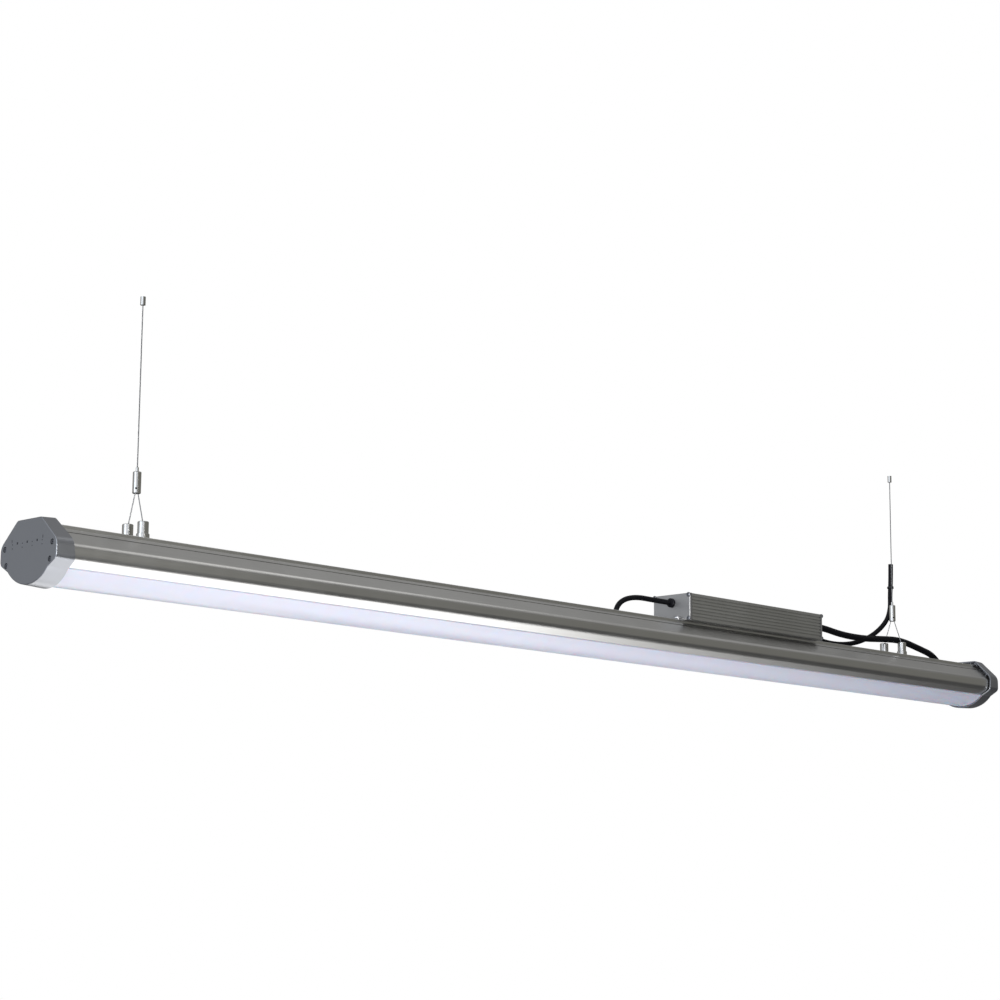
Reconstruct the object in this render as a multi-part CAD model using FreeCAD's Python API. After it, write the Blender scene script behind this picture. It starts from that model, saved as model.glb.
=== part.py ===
"""Linear high bay light on two wire hangers, with its driver on top of the housing.

Lengths are in millimetres. The model is drawn in the housing's own axes: x runs along
the housing from the outer face of the left end cap, y runs across it with the front at
-y, and z is up from the middle of the end cap's screw rows. Every piece is moved once,
when it is written, so that the origin lies midway between the two suspension points,
which are the undersides of the end stops on the wires.
"""
import FreeCAD, Part
import math
import os
from FreeCAD import Vector

# Overall body
overall_length = 1500.0
suspension_height = 250.0
hanger_left_x = 118.0
hanger_right_x = 1325.0
hanger_left_yaw = 0.0
hanger_right_yaw = 14.0

# End cap outline, measured on its outer face
cap_top_z = 31.3
cap_shoulder_y = 28.9
cap_shoulder_z = 21.3
cap_shoulder_angle = 42.5
cap_side_y = 42.3
cap_lip_y = 36.2
cap_lip_z = -10.8
lip_angle = 30.3
belly_centre_z = 12.4
cap_belly_radius = 40.4
cap_top_round = 5.0
cap_crease_round = 12.0
cap_ear_round = 6.0
cap_depth = 19.2
cap_rim_slope = 0.13
cap_flare = 1.0
cap_cavity_inset = 0.7
cap_end_wall = 3.5
cap_edge_round = 0.8
cap_rib_thickness = 1.6
cap_rib_y = 9.0
cap_rib_depth = 9.0
cap_rib_clearance = 0.3

# Recess row on the end cap face
recess_depth = 0.4
recess_square = 2.1
recess_dot_radius = 0.6
recess_row_z = 10.6
recess_pitch = 14.9
recess_count = 3
recess_dot_drop = 3.6
recess_square_shift = 1.8
recess_dot_shift = 5.6
recess_dot_lift = 0.6
recess_end_reach = 23.2
recess_end_lift = 2.4
recess_end_width = 0.9
recess_end_height = 2.8
shoulder_rib_inset = 10.4

# End gasket
gasket_thickness = 1.5

# Housing extrusion
deck_z = 26.7
deck_half_width = 18.5
deck_edge_round = 0.5
shoulder_angle = 40.0
side_y = 40.0
crease_z = 6.0
crease_round = 2.5
ear_round = 4.5
lip_inset = 1.5
lip_wall = 1.3
lip_end_y = 29.3
housing_wall = 2.0
tray_top_z = -4.0
tray_thickness = 2.0
groove_y = 23.9
groove_width = 1.3
groove_depth = 0.8

# T slots along the deck
slot_y = 11.5
slot_opening = 5.4
slot_width = 10.2
slot_lip = 1.8
slot_height = 4.0
slot_wall = 1.5

# Screw ports and end cap screws
upper_port_y = 35.6
upper_port_z = 6.8
upper_boss_radius = 2.6
lower_port_y = 32.8
lower_port_z = -8.2
lower_boss_radius = 2.4
port_bore_radius = 1.2
port_slit = 1.2
cap_screw_length = 16.0
cap_screw_shank_radius = 1.15
cap_screw_head_radius = 2.4
cap_screw_head_height = 1.6
cap_screw_sink = 1.9
cap_screw_socket_radius = 1.0
cap_screw_socket_depth = 0.9
cap_hole_clearance = 0.25

# Diffuser
diffuser_radius = 39.4
diffuser_wall = 1.8
diffuser_leg_gap = 0.4
diffuser_leg = 1.6
diffuser_toe = 1.4
diffuser_toe_thickness = 1.1
diffuser_toe_gap = 0.3

# LED boards and what is on them
board_count = 5
board_length = 296.0
board_gap = 2.0
board_width = 24.0
board_thickness = 1.6
board_screw_offset = 75.0
board_screw_radius = 1.4
board_screw_head_radius = 2.7
board_screw_head_height = 1.6
board_screw_tail = 1.0
package_columns = 24
package_margin = 9.0
package_row_y = 7.0
package_length = 3.5
package_width = 2.8
package_height = 0.7
link_length = 10.0
link_width = 4.0
link_height = 2.6

# Terminal blocks inside the housing
terminal_left_x = 787.4
terminal_right_inset = 52.0
terminal_length = 30.0
terminal_width = 20.0
terminal_height = 12.5
terminal_peg_radius = 1.9
terminal_peg_offset = 10.0
terminal_pin_radius = 0.6
terminal_pin_y = 4.0
terminal_pin_rise = 2.0
terminal_pin_hole_radius = 1.5
fit_clearance = 0.05

# Driver case
driver_left_x = 888.3
driver_length = 251.0
driver_half_width = 27.0
driver_height = 31.0
driver_wall = 2.5
driver_plate = 3.0
driver_gasket = 1.0
driver_gasket_inset = 0.1
driver_rib_pitch = 3.75
driver_rib_count = 7
driver_groove_width = 1.7
driver_groove_depth = 1.0
driver_top_groove_count = 9
driver_top_groove_pitch = 4.2
driver_core_half_width = 20.6
driver_core_end_gap = 1.0
driver_core_top_gap = 0.3
driver_screw_y = 25.2
driver_screw_inset_z = 1.9
driver_boss_radius = 2.7
driver_screw_radius = 1.1
driver_screw_head_radius = 2.6
driver_screw_head_height = 1.7
driver_screw_length = 12.0
foot_length = 9.0
foot_half_width = 17.5
foot_thickness = 2.2
foot_screw_offset = 4.2
foot_screw_radius = 1.95
foot_screw_head_radius = 3.8
foot_screw_head_height = 2.4

# Leads, boots and grommets
lead_radius = 3.0
boot_clearance = 0.06
boot_neck_radius = 4.0
boot_flange_radius = 5.3
boot_flange_height = 3.4
boot_flange_round = 0.9
boot_sleeve_radius = 4.0
boot_tip_radius = 3.5
boot_length = 5.4
boot_lip_radius = 4.7
boot_lip_height = 1.2
output_height = 21.3
mains_height = 10.8
mains_offset_y = 15.0
grommet_half_width = 4.1
grommet_flange_half_width = 6.3
grommet_flange_height = 2.0
grommet_lip_half_width = 4.6
grommet_lip_height = 1.6
grommet_flange_extra = 3.0
grommet_lip_extra = 0.8
left_grommet_x = 791.6
left_grommet_half_length = 5.4
right_grommet_inset = 75.4
right_grommet_half_length = 8.6

# Hanger nipples and slot nuts
nipple_radius = 5.25
nipple_top_z = 42.3
nipple_flange_radius = 6.2
nipple_flange_height = 4.2
nipple_spigot_radius = 3.6
nipple_spigot_height = 5.0
nipple_roof = 1.3
nipple_hole_radius = 1.6
nipple_chamber_radius = 2.9
nipple_stud_radius = 2.4
nipple_edge = 0.6
slot_nut_side = 9.4
slot_nut_height = 3.2
slot_nut_lift = 0.05

# Bridle, gripper and suspension wire
bridle_radius = 0.5
bridle_ball_radius = 2.2
pin_radius = 0.8
gripper_bottom_z = 70.0
gripper_radius = 4.0
gripper_height = 20.5
gripper_pin_rise = 2.7
pocket_half_x = 1.0
pocket_half_y = 3.2
pocket_height = 5.3
side_hole_radius = 1.1
side_hole_rise = 4.4
gripper_lip = 1.8
stem_radius = 1.4
stem_exposed = 4.3
collet_top_radius = 1.9
collet_foot_radius = 2.7
collet_length = 6.2
collet_slit = 0.5
spring_wire_radius = 0.25
spring_radius = 2.2
spring_pitch = 1.3
chamber_radius = 2.9
chamber_floor = 6.6
wire_radius = 0.6
wire_tail = 1.0
end_stop_radius = 2.5
end_stop_height = 8.0
end_stop_roof = 4.6

# Cable tie that holds the mains lead to the right hanger's wire
tie_z = 114.0
tie_height = 2.5
tie_thickness = 1.0
tie_clearance = 0.08
tie_head = 3.6

# Values that follow from the sizes above
board_pitch = board_length + board_gap
terminal_right_x = overall_length - terminal_right_inset
right_grommet_x = overall_length - right_grommet_inset
housing_start_x = cap_end_wall + gasket_thickness
housing_end_x = overall_length - housing_start_x
driver_right_x = driver_left_x + driver_length
driver_top_z = deck_z + driver_height
case_start_x = driver_left_x + driver_plate + driver_gasket
case_end_x = driver_right_x - driver_plate - driver_gasket
output_z = deck_z + output_height
mains_z = deck_z + mains_height
tray_bottom_z = tray_top_z - tray_thickness
board_bottom_z = tray_bottom_z - board_thickness
board_start_x = (overall_length - (board_count - 1) * board_pitch - board_length) / 2
slot_floor_z = deck_z - slot_lip - slot_height
gripper_pin_z = gripper_bottom_z + gripper_pin_rise
gripper_top_z = gripper_bottom_z + gripper_height

# Routes of the leads, point by point from the driver
core_left_x = case_start_x + driver_core_end_gap
core_right_x = case_end_x - driver_core_end_gap
output_left_route = [
    (core_left_x, 0.0, output_z),
    (859.0, 0.0, output_z),
    (826.4, 0.0, 48.6),
    (804.0, 0.0, 43.4),
    (791.6, 0.0, 33.1),
    (789.9, 0.0, 17.5),
    (terminal_left_x, 0.0, 2.2),
]
output_right_route = [
    (core_right_x, 0.0, output_z),
    (1171.0, 0.0, output_z),
    (1215.0, 0.0, 42.4),
    (1262.0, 0.0, 41.9),
    (1301.0, 0.0, 45.1),
    (1341.0, 0.0, 47.5),
    (1385.0, 0.0, 39.9),
    (terminal_right_x - 33.5, 0.0, 34.2),
    (terminal_right_x - 12.0, 0.0, 15.6),
    (terminal_right_x, 0.0, 1.8),
]
mains_route = [
    (core_right_x, mains_offset_y, mains_z),
    (1170.0, mains_offset_y, mains_z),
    (1216.2, 15.4, 31.6),
    (1261.0, 12.6, 36.3),
    (1300.6, 11.6, 51.2),
    (1325.2, 9.1, 70.3),
    (1332.3, 8.0, 87.3),
    (1329.3, 5.9, 103.8),
    (1327.9, 3.4, 124.0),
    (1328.1, 3.2, 144.0),
]

origin = Vector((hanger_left_x + hanger_right_x) / 2, 0.0, suspension_height)
left_x = Vector(1, 0, 0)
up = Vector(0, 0, 1)


def write(name, shape):
    """Move a finished piece to the suspension frame and write its file."""
    placed = shape.copy()
    placed.translate(-origin)
    placed.exportStep("parts/" + name + ".step")
    print(name, "solids", len(placed.Solids), "volume", round(placed.Volume, 1))


def group(shapes):
    """Keep several identical solids together in one piece."""
    return Part.makeCompound(list(shapes))


def mirror_to_right(shape):
    """Reflect a piece of the left end to the right end."""
    middle = Vector(overall_length / 2, 0, 0)
    return shape.mirror(middle, left_x)


def box(x0, x1, y0, y1, z0, z1):
    """A box between two opposite corners."""
    return Part.makeBox(x1 - x0, y1 - y0, z1 - z0, Vector(x0, y0, z0))


def rod(radius, start, end):
    """A round bar from one point to another."""
    start, end = Vector(*start), Vector(*end)
    axis = end - start
    return Part.makeCylinder(radius, axis.Length, start, axis)


def turned(profile, base, axis=up):
    """Revolve a profile of (radius, height) points about an axis through base."""
    points = [Vector(radius, 0, height) for radius, height in profile]
    face = Part.Face(Part.makePolygon(points + [points[0]]))
    solid = face.revolve(Vector(0, 0, 0), up, 360)
    solid.Placement = FreeCAD.Placement(Vector(*base), FreeCAD.Rotation(up, axis))
    return solid


def corner_arcs(corners, x, closed):
    """Round each (y, z, radius) corner and give its start, middle and end points."""
    spots = []
    count = len(corners)
    for index, (y, z, radius) in enumerate(corners):
        here = Vector(x, y, z)
        loose_end = not closed and index in (0, count - 1)
        if radius == 0 or loose_end:
            spots.append((here, None, here))
            continue
        before = corners[index - 1]
        after = corners[(index + 1) % count]
        back = (Vector(x, before[0], before[1]) - here).normalize()
        ahead = (Vector(x, after[0], after[1]) - here).normalize()
        half = back.getAngle(ahead) / 2
        inward = (back + ahead).normalize()
        centre = here + inward * (radius / math.sin(half))
        reach = radius / math.tan(half)
        spots.append((here + back * reach, centre - inward * radius, here + ahead * reach))
    return spots


def joined_edges(spots, closed):
    """Join rounded corners with straight edges."""
    edges = []
    for index, (start, middle, end) in enumerate(spots):
        if middle is not None:
            edges.append(Part.Arc(start, middle, end).toShape())
        if index == len(spots) - 1 and not closed:
            break
        following = spots[(index + 1) % len(spots)][0]
        if end.distanceToPoint(following) > 1e-6:
            edges.append(Part.LineSegment(end, following).toShape())
    return edges


def rounded_face(corners, x):
    """A face across the housing from a closed run of (y, z, radius) corners."""
    return Part.Face(Part.Wire(joined_edges(corner_arcs(corners, x, True), True)))


def both_sides(half):
    """Mirror a run of corners about the middle plane and join the two runs."""
    return [(-y, z, radius) for y, z, radius in reversed(half)] + list(half)


def disc(y, z, radius, x):
    """A round face across the housing."""
    return Part.Face(Part.Wire(Part.makeCircle(radius, Vector(x, y, z), left_x)))


def cut_all(shape, tools):
    """Take several tools away from a shape."""
    for tool in tools:
        shape = shape.cut(tool)
    return shape


def lip_line_z(y, inset):
    """Height of the lip plane at y, moved inwards from the end cap's own lip."""
    sine, cosine = math.sin(math.radians(lip_angle)), math.cos(math.radians(lip_angle))
    reach = cap_lip_y * sine - cap_lip_z * cosine - inset
    return (y * sine - reach) / cosine


def cap_outline(grow, x):
    """The end cap's outline, moved outwards by grow, as a wire across the housing."""
    shoulder = math.radians(cap_shoulder_angle)
    lip = math.radians(lip_angle)
    shoulder_reach = cap_shoulder_y * math.sin(shoulder) + cap_shoulder_z * math.cos(shoulder) + grow
    top = cap_top_z + grow
    side = cap_side_y + grow
    top_y = (shoulder_reach - top * math.cos(shoulder)) / math.sin(shoulder)
    crease = (shoulder_reach - side * math.sin(shoulder)) / math.cos(shoulder)
    ear = lip_line_z(side, -grow)
    belly = cap_belly_radius + grow
    lip_reach = cap_lip_y * math.sin(lip) - cap_lip_z * math.cos(lip) + grow
    offset = lip_reach + belly_centre_z * math.cos(lip)
    chord = math.sqrt(belly ** 2 - offset ** 2)
    kink_y = offset * math.sin(lip) + chord * math.cos(lip)
    kink_z = belly_centre_z - offset * math.cos(lip) + chord * math.sin(lip)
    half = [
        (top_y, top, cap_top_round + grow),
        (side, crease, cap_crease_round + grow),
        (side, ear, cap_ear_round + grow),
        (kink_y, kink_z, 0),
    ]
    edges = joined_edges(corner_arcs(both_sides(half), x, False), False)
    bottom = Vector(x, 0, belly_centre_z - belly)
    ends = Vector(x, kink_y, kink_z), Vector(x, -kink_y, kink_z)
    edges.append(Part.Arc(ends[0], bottom, ends[1]).toShape())
    return Part.Wire(edges)


def port_places():
    """Centres of the four screw ports with their boss radii."""
    upper = [(side * upper_port_y, upper_port_z, upper_boss_radius) for side in (-1, 1)]
    lower = [(side * lower_port_y, lower_port_z, lower_boss_radius) for side in (-1, 1)]
    return upper + lower


def along_route(points):
    """Straight runs joined by tangent arcs, with the bend radii and the length."""
    points = [Vector(*point) for point in points]
    edges = []
    radii = []
    start = points[0]
    for before, here, after in zip(points, points[1:], points[2:]):
        back, ahead = before - here, after - here
        shorter = min(back.Length, ahead.Length)
        back.normalize()
        ahead.normalize()
        turn = math.pi - back.getAngle(ahead)
        radius = 0.45 * shorter / math.tan(turn / 2)
        reach = 0.45 * shorter
        inward = (back + ahead).normalize()
        centre = here + inward * (radius / math.cos(turn / 2))
        middle = centre - inward * radius
        edges.append(Part.LineSegment(start, here + back * reach).toShape())
        edges.append(Part.Arc(here + back * reach, middle, here + ahead * reach).toShape())
        radii.append(round(radius, 1))
        start = here + ahead * reach
    edges.append(Part.LineSegment(start, points[-1]).toShape())
    return Part.Wire(edges), radii


def tube(points, radius):
    """A solid round tube along a route."""
    path, _ = along_route(points)
    first = Vector(*points[0])
    ring = Part.Wire(Part.makeCircle(radius, first, Vector(*points[1]) - first))
    return path.makePipeShell([ring], True, False)


def report_route(name, points, radius):
    """Print a lead's bend radii and compare its volume with section times length."""
    path, radii = along_route(points)
    solid = tube(points, radius)
    expected = math.pi * radius ** 2 * path.Length
    print(name, "length", round(path.Length, 1), "radii", radii)
    print(name, "volume ratio", round(solid.Volume / expected, 5), "valid", solid.isValid())
    return solid


def housing_section(x):
    """Cross-section of the housing extrusion."""
    shoulder = math.radians(shoulder_angle)
    reach = side_y * math.sin(shoulder) + crease_z * math.cos(shoulder)
    rail_foot = (reach - deck_half_width * math.sin(shoulder)) / math.cos(shoulder)
    outer = [
        (deck_half_width, deck_z, deck_edge_round),
        (deck_half_width, rail_foot, 0),
        (side_y, crease_z, crease_round),
        (side_y, lip_line_z(side_y, lip_inset), ear_round),
        (lip_end_y, lip_line_z(lip_end_y, lip_inset), 0),
    ]
    section = rounded_face(both_sides(outer), x)
    inner_side = side_y - housing_wall
    slot_box = slot_floor_z - slot_wall
    box_inner = slot_y - slot_width / 2 - slot_wall
    inner_reach = reach - housing_wall
    box_outer = (inner_reach - slot_box * math.cos(shoulder)) / math.sin(shoulder)
    inner_crease = (inner_reach - inner_side * math.sin(shoulder)) / math.cos(shoulder)
    chamber = [
        (box_inner, deck_z - slot_lip, 0),
        (box_inner, slot_box, 0),
        (box_outer, slot_box, 0),
        (inner_side, inner_crease, 1.0),
        (inner_side, tray_top_z, 1.0),
    ]
    optic_inset = lip_inset + lip_wall
    optic_floor = belly_centre_z - diffuser_radius
    optic = [
        (inner_side, tray_bottom_z, 0),
        (inner_side, lip_line_z(inner_side, optic_inset), 0),
        (lip_end_y, lip_line_z(lip_end_y, optic_inset), 0),
        (lip_end_y, optic_floor, 0),
    ]
    bosses = [disc(y, z, radius, x) for y, z, radius in port_places()]
    voids = [cut_all(rounded_face(both_sides(half), x), bosses) for half in (chamber, optic)]
    for side in (-1, 1):
        centre = side * slot_y
        mouth = slot_opening / 2
        inner = slot_width / 2
        neck = deck_z - slot_lip
        slot = [
            (centre - mouth, deck_z + 1, 0),
            (centre - mouth, neck, 0),
            (centre - inner, neck, 0),
            (centre - inner, slot_floor_z, 0),
            (centre + inner, slot_floor_z, 0),
            (centre + inner, neck, 0),
            (centre + mouth, neck, 0),
            (centre + mouth, deck_z + 1, 0),
        ]
        voids.append(rounded_face(slot, x))
        along = (side * math.cos(shoulder), -math.sin(shoulder))
        inward = (-side * math.sin(shoulder), -math.cos(shoulder))
        groove_z = (reach - groove_y * math.sin(shoulder)) / math.cos(shoulder)
        groove = []
        for step, depth in ((-0.5, -0.5), (0.5, -0.5), (0.5, groove_depth), (-0.5, groove_depth)):
            y = side * groove_y + along[0] * step * groove_width + inward[0] * depth
            z = groove_z + along[1] * step * groove_width + inward[1] * depth
            groove.append((y, z, 0))
        voids.append(rounded_face(groove, x))
    for y, z, _ in port_places():
        voids.append(disc(y, z, port_bore_radius, x))
        inner_end = y - math.copysign(upper_boss_radius + 1, y)
        slit = [
            (y, z - port_slit / 2, 0),
            (inner_end, z - port_slit / 2, 0),
            (inner_end, z + port_slit / 2, 0),
            (y, z + port_slit / 2, 0),
        ]
        voids.append(rounded_face(slit, x))
    return cut_all(section, voids)


def stadium(centre_x, half_length, half_width, z0, z1):
    """An upright prism with round ends, long in x."""
    straight = half_length - half_width
    ends = [centre_x - straight, centre_x + straight]
    body = box(ends[0], ends[1], -half_width, half_width, z0, z1)
    for end in ends:
        body = body.fuse(rod(half_width, (end, 0, z0), (end, 0, z1)))
    return body.removeSplitter()


def grommet(centre_x, half_length, route):
    """Low rubber grommet that seals one lead into the deck."""
    wall_bottom = deck_z - slot_lip
    neck_length = half_length - fit_clearance
    neck = stadium(centre_x, neck_length, grommet_half_width, wall_bottom, deck_z)
    flange_length = half_length + grommet_flange_extra
    flange_top = deck_z + grommet_flange_height
    flange = stadium(centre_x, flange_length, grommet_flange_half_width, deck_z, flange_top)
    lip_length = half_length + grommet_lip_extra
    lip_bottom = wall_bottom - grommet_lip_height
    lip = stadium(centre_x, lip_length, grommet_lip_half_width, lip_bottom, wall_bottom)
    body = neck.fuse([flange, lip]).removeSplitter()
    return body.cut(tube(route, lead_radius + boot_clearance))


def board_screw_places():
    """Centres of the screws that hold the LED boards."""
    places = []
    for index in range(board_count):
        start = board_start_x + index * board_pitch
        places.append(start + board_screw_offset)
        places.append(start + board_length - board_screw_offset)
    return places


def housing():
    """The extruded housing with its lead holes, tray holes and screw ports."""
    section = housing_section(housing_start_x)
    body = section.extrude(Vector(housing_end_x - housing_start_x, 0, 0)).Solids[0]
    tools = []
    places = ((left_grommet_x, left_grommet_half_length), (right_grommet_x, right_grommet_half_length))
    for centre_x, half_length in places:
        half_width = grommet_half_width + fit_clearance
        tools.append(stadium(centre_x, half_length, half_width, deck_z - slot_lip - 1, deck_z + 1))
    for x in board_screw_places():
        hole = board_screw_radius + fit_clearance
        tools.append(rod(hole, (x, 0, tray_bottom_z - 1), (x, 0, tray_top_z + 1)))
    for x in (terminal_left_x, terminal_right_x):
        for side in (-1, 1):
            peg_x = x + side * terminal_peg_offset
            hole = terminal_peg_radius + fit_clearance
            tools.append(rod(hole, (peg_x, 0, tray_bottom_z - 1), (peg_x, 0, tray_top_z + 1)))
            pin = (x, side * terminal_pin_y)
            tools.append(rod(terminal_pin_hole_radius, (*pin, tray_bottom_z - 1), (*pin, tray_top_z + 1)))
    return cut_all(body, tools)


def diffuser():
    """Opal diffuser with the two toes that hook behind the housing's lips."""
    outer_y = lip_end_y - diffuser_leg_gap
    inner_y = outer_y - diffuser_leg
    inner_radius = diffuser_radius - diffuser_wall
    outer_z = belly_centre_z - math.sqrt(diffuser_radius ** 2 - outer_y ** 2)
    inner_z = belly_centre_z - math.sqrt(inner_radius ** 2 - inner_y ** 2)
    toe_y = outer_y + diffuser_toe
    inset = lip_inset + lip_wall + diffuser_toe_gap
    toe_heel = lip_line_z(outer_y, inset)
    toe_tip = lip_line_z(toe_y, inset)
    top = lip_line_z(outer_y, inset + diffuser_toe_thickness)
    tip_top = lip_line_z(toe_y, inset + diffuser_toe_thickness)
    x = housing_start_x
    run = [
        (outer_y, outer_z),
        (outer_y, toe_heel),
        (toe_y, toe_tip),
        (toe_y, tip_top),
        (outer_y, top),
        (inner_y, top),
        (inner_y, inner_z),
    ]
    edges = []
    for side in (-1, 1):
        spots = [Vector(x, side * y, z) for y, z in run]
        edges += [Part.LineSegment(a, b).toShape() for a, b in zip(spots, spots[1:])]
    for y, z, radius in ((outer_y, outer_z, diffuser_radius), (inner_y, inner_z, inner_radius)):
        bottom = Vector(x, 0, belly_centre_z - radius)
        edges.append(Part.Arc(Vector(x, y, z), bottom, Vector(x, -y, z)).toShape())
    wire = Part.Wire(Part.sortEdges(edges)[0])
    return Part.Face(wire).extrude(Vector(housing_end_x - housing_start_x, 0, 0))


def end_cap():
    """Left end cap: a flared cup with a leaning rim, screw holes, ribs and recess row."""
    belly_z = cap_belly_radius - belly_centre_z
    skirt = cap_depth + cap_rim_slope * belly_z + 1
    grown = cap_flare * skirt / cap_depth
    outside = Part.makeLoft([cap_outline(0, 0), cap_outline(grown, skirt)], True, True)
    rim = [edge for edge in outside.Edges if all(v.X < 0.001 for v in edge.Vertexes)]
    outside = outside.makeFillet(cap_edge_round, rim)
    cavity = Part.Face(cap_outline(-cap_cavity_inset, cap_end_wall))
    cup = outside.cut(cavity.extrude(Vector(skirt, 0, 0)))
    beyond = box(0, skirt, -2 * side_y, 2 * side_y, -2 * side_y, 2 * side_y)
    beyond.rotate(Vector(0, 0, 0), Vector(0, 1, 0), -math.degrees(math.atan(cap_rim_slope)))
    beyond.translate(Vector(cap_depth, 0, 0))
    cup = cup.cut(beyond)
    cavity_solid = cavity.extrude(Vector(cap_rib_depth, 0, 0))
    rib_foot = deck_z + cap_rib_clearance
    rib_end = cap_end_wall + cap_rib_depth
    for side in (-1, 1):
        y = side * cap_rib_y
        half = cap_rib_thickness / 2
        rib = box(cap_end_wall, rib_end, y - half, y + half, rib_foot, cap_top_z)
        cup = cup.fuse(rib.common(cavity_solid))
        angle = math.radians(shoulder_angle)
        reach = side_y * math.sin(angle) + crease_z * math.cos(angle) + cap_rib_clearance
        along = side_y * math.cos(angle) - crease_z * math.sin(angle) - shoulder_rib_inset
        rib = box(cap_end_wall, rib_end, along - half, along + half, reach, reach + 10)
        rib.rotate(Vector(0, 0, 0), left_x, -shoulder_angle)
        if side < 0:
            rib = rib.mirror(Vector(0, 0, 0), Vector(0, 1, 0))
        cup = cup.fuse(rib.common(cavity_solid))
    cup = cup.removeSplitter()
    tools = []
    for y, z, _ in port_places():
        hole = cap_screw_shank_radius + cap_hole_clearance
        sink = cap_screw_head_radius + cap_hole_clearance
        tools.append(rod(hole, (-1, y, z), (cap_end_wall + 1, y, z)))
        tools.append(rod(sink, (-1, y, z), (cap_screw_sink, y, z)))
    middle = (recess_count - 1) / 2
    half = recess_square / 2
    for index in range(recess_count):
        y = (index - middle) * recess_pitch + recess_square_shift
        tools.append(box(-1, recess_depth, y - half, y + half, recess_row_z - half, recess_row_z + half))
    for index in range(recess_count + 1):
        y = (index - middle) * recess_pitch - recess_dot_shift
        for drop in (0, recess_dot_drop):
            z = recess_row_z - recess_dot_lift - drop
            tools.append(rod(recess_dot_radius, (-1, y, z), (recess_depth, y, z)))
    z = recess_row_z + recess_end_lift - recess_end_height / 2
    for reach in (-recess_end_reach, recess_end_reach):
        y = recess_square_shift + reach - recess_end_width / 2
        tools.append(box(-1, recess_depth, y, y + recess_end_width, z, z + recess_end_height))
    return cut_all(cup, tools)


def gasket():
    """Silicone pad between the housing's end and the end cap's wall."""
    shoulder = math.radians(shoulder_angle)
    reach = side_y * math.sin(shoulder) + crease_z * math.cos(shoulder)
    rail_foot = (reach - deck_half_width * math.sin(shoulder)) / math.cos(shoulder)
    x = cap_end_wall
    half = [
        (deck_half_width, deck_z, deck_edge_round),
        (deck_half_width, rail_foot, 0),
        (side_y, crease_z, crease_round),
        (side_y, lip_line_z(side_y, lip_inset), ear_round),
        (lip_end_y, lip_line_z(lip_end_y, lip_inset), 0),
    ]
    edges = joined_edges(corner_arcs(both_sides(half), x, False), False)
    end_y, end_z = half[-1][0], half[-1][1]
    bottom = Vector(x, 0, belly_centre_z - diffuser_radius)
    edges.append(Part.Arc(Vector(x, end_y, end_z), bottom, Vector(x, -end_y, end_z)).toShape())
    pad = Part.Face(Part.Wire(edges)).extrude(Vector(gasket_thickness, 0, 0))
    hole = cap_screw_shank_radius + cap_hole_clearance
    tools = [rod(hole, (x - 1, y, z), (x + gasket_thickness + 1, y, z)) for y, z, _ in port_places()]
    return cut_all(pad, tools)


def machine_screw(head_radius, head_height, shank_radius, length, socket_radius, socket_depth):
    """A pan head screw along +x with its head's underside on x = 0."""
    crown = head_height * 0.55
    profile = [
        (0, -head_height),
        (head_radius * 0.7, -head_height),
        (head_radius, -head_height + crown),
        (head_radius, 0),
        (shank_radius, 0),
        (shank_radius, length - shank_radius),
        (shank_radius * 0.5, length),
        (0, length),
    ]
    screw = turned(profile, (0, 0, 0), left_x)
    socket = rod(socket_radius, (-head_height - 1, 0, 0), (-head_height + socket_depth, 0, 0))
    return screw.cut(socket)


def cap_screws():
    """The four screws of the left end cap."""
    screws = []
    for y, z, _ in port_places():
        screw = machine_screw(
            cap_screw_head_radius,
            cap_screw_head_height,
            cap_screw_shank_radius,
            cap_screw_length,
            cap_screw_socket_radius,
            cap_screw_socket_depth,
        )
        screw.translate(Vector(cap_screw_sink, y, z))
        screws.append(screw)
    return group(screws)


def led_board(index):
    """One LED board with its screw holes."""
    start = board_start_x + index * board_pitch
    half = board_width / 2
    board = box(start, start + board_length, -half, half, board_bottom_z, tray_bottom_z)
    hole = board_screw_radius + fit_clearance
    for x in (start + board_screw_offset, start + board_length - board_screw_offset):
        board = board.cut(rod(hole, (x, 0, board_bottom_z - 1), (x, 0, tray_bottom_z + 1)))
    return board


def led_packages():
    """All the LED packages on the boards."""
    packages = []
    pitch = (board_length - 2 * package_margin) / (package_columns - 1)
    for board in range(board_count):
        start = board_start_x + board * board_pitch + package_margin
        for column in range(package_columns):
            for row in (-1, 1):
                x = start + column * pitch - package_length / 2
                y = row * package_row_y - package_width / 2
                place = Vector(x, y, board_bottom_z - package_height)
                packages.append(Part.makeBox(package_length, package_width, package_height, place))
    return group(packages)


def board_links():
    """Connectors that join neighbouring LED boards."""
    links = []
    for index in range(board_count - 1):
        end = board_start_x + index * board_pitch + board_length
        middle = end + (board_pitch - board_length) / 2
        x0, x1 = middle - link_length / 2, middle + link_length / 2
        half = link_width / 2
        links.append(box(x0, x1, -half, half, board_bottom_z - link_height, board_bottom_z))
    return group(links)


def board_screws():
    """Screws that hold the LED boards to the tray."""
    screws = []
    length = board_thickness + tray_thickness + board_screw_tail
    for x in board_screw_places():
        screw = machine_screw(
            board_screw_head_radius,
            board_screw_head_height,
            board_screw_radius,
            length,
            board_screw_head_radius * 0.4,
            board_screw_head_height * 0.5,
        )
        screw.rotate(Vector(0, 0, 0), Vector(0, 1, 0), -90)
        screw.translate(Vector(x, 0, board_bottom_z))
        screws.append(screw)
    return group(screws)


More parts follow.
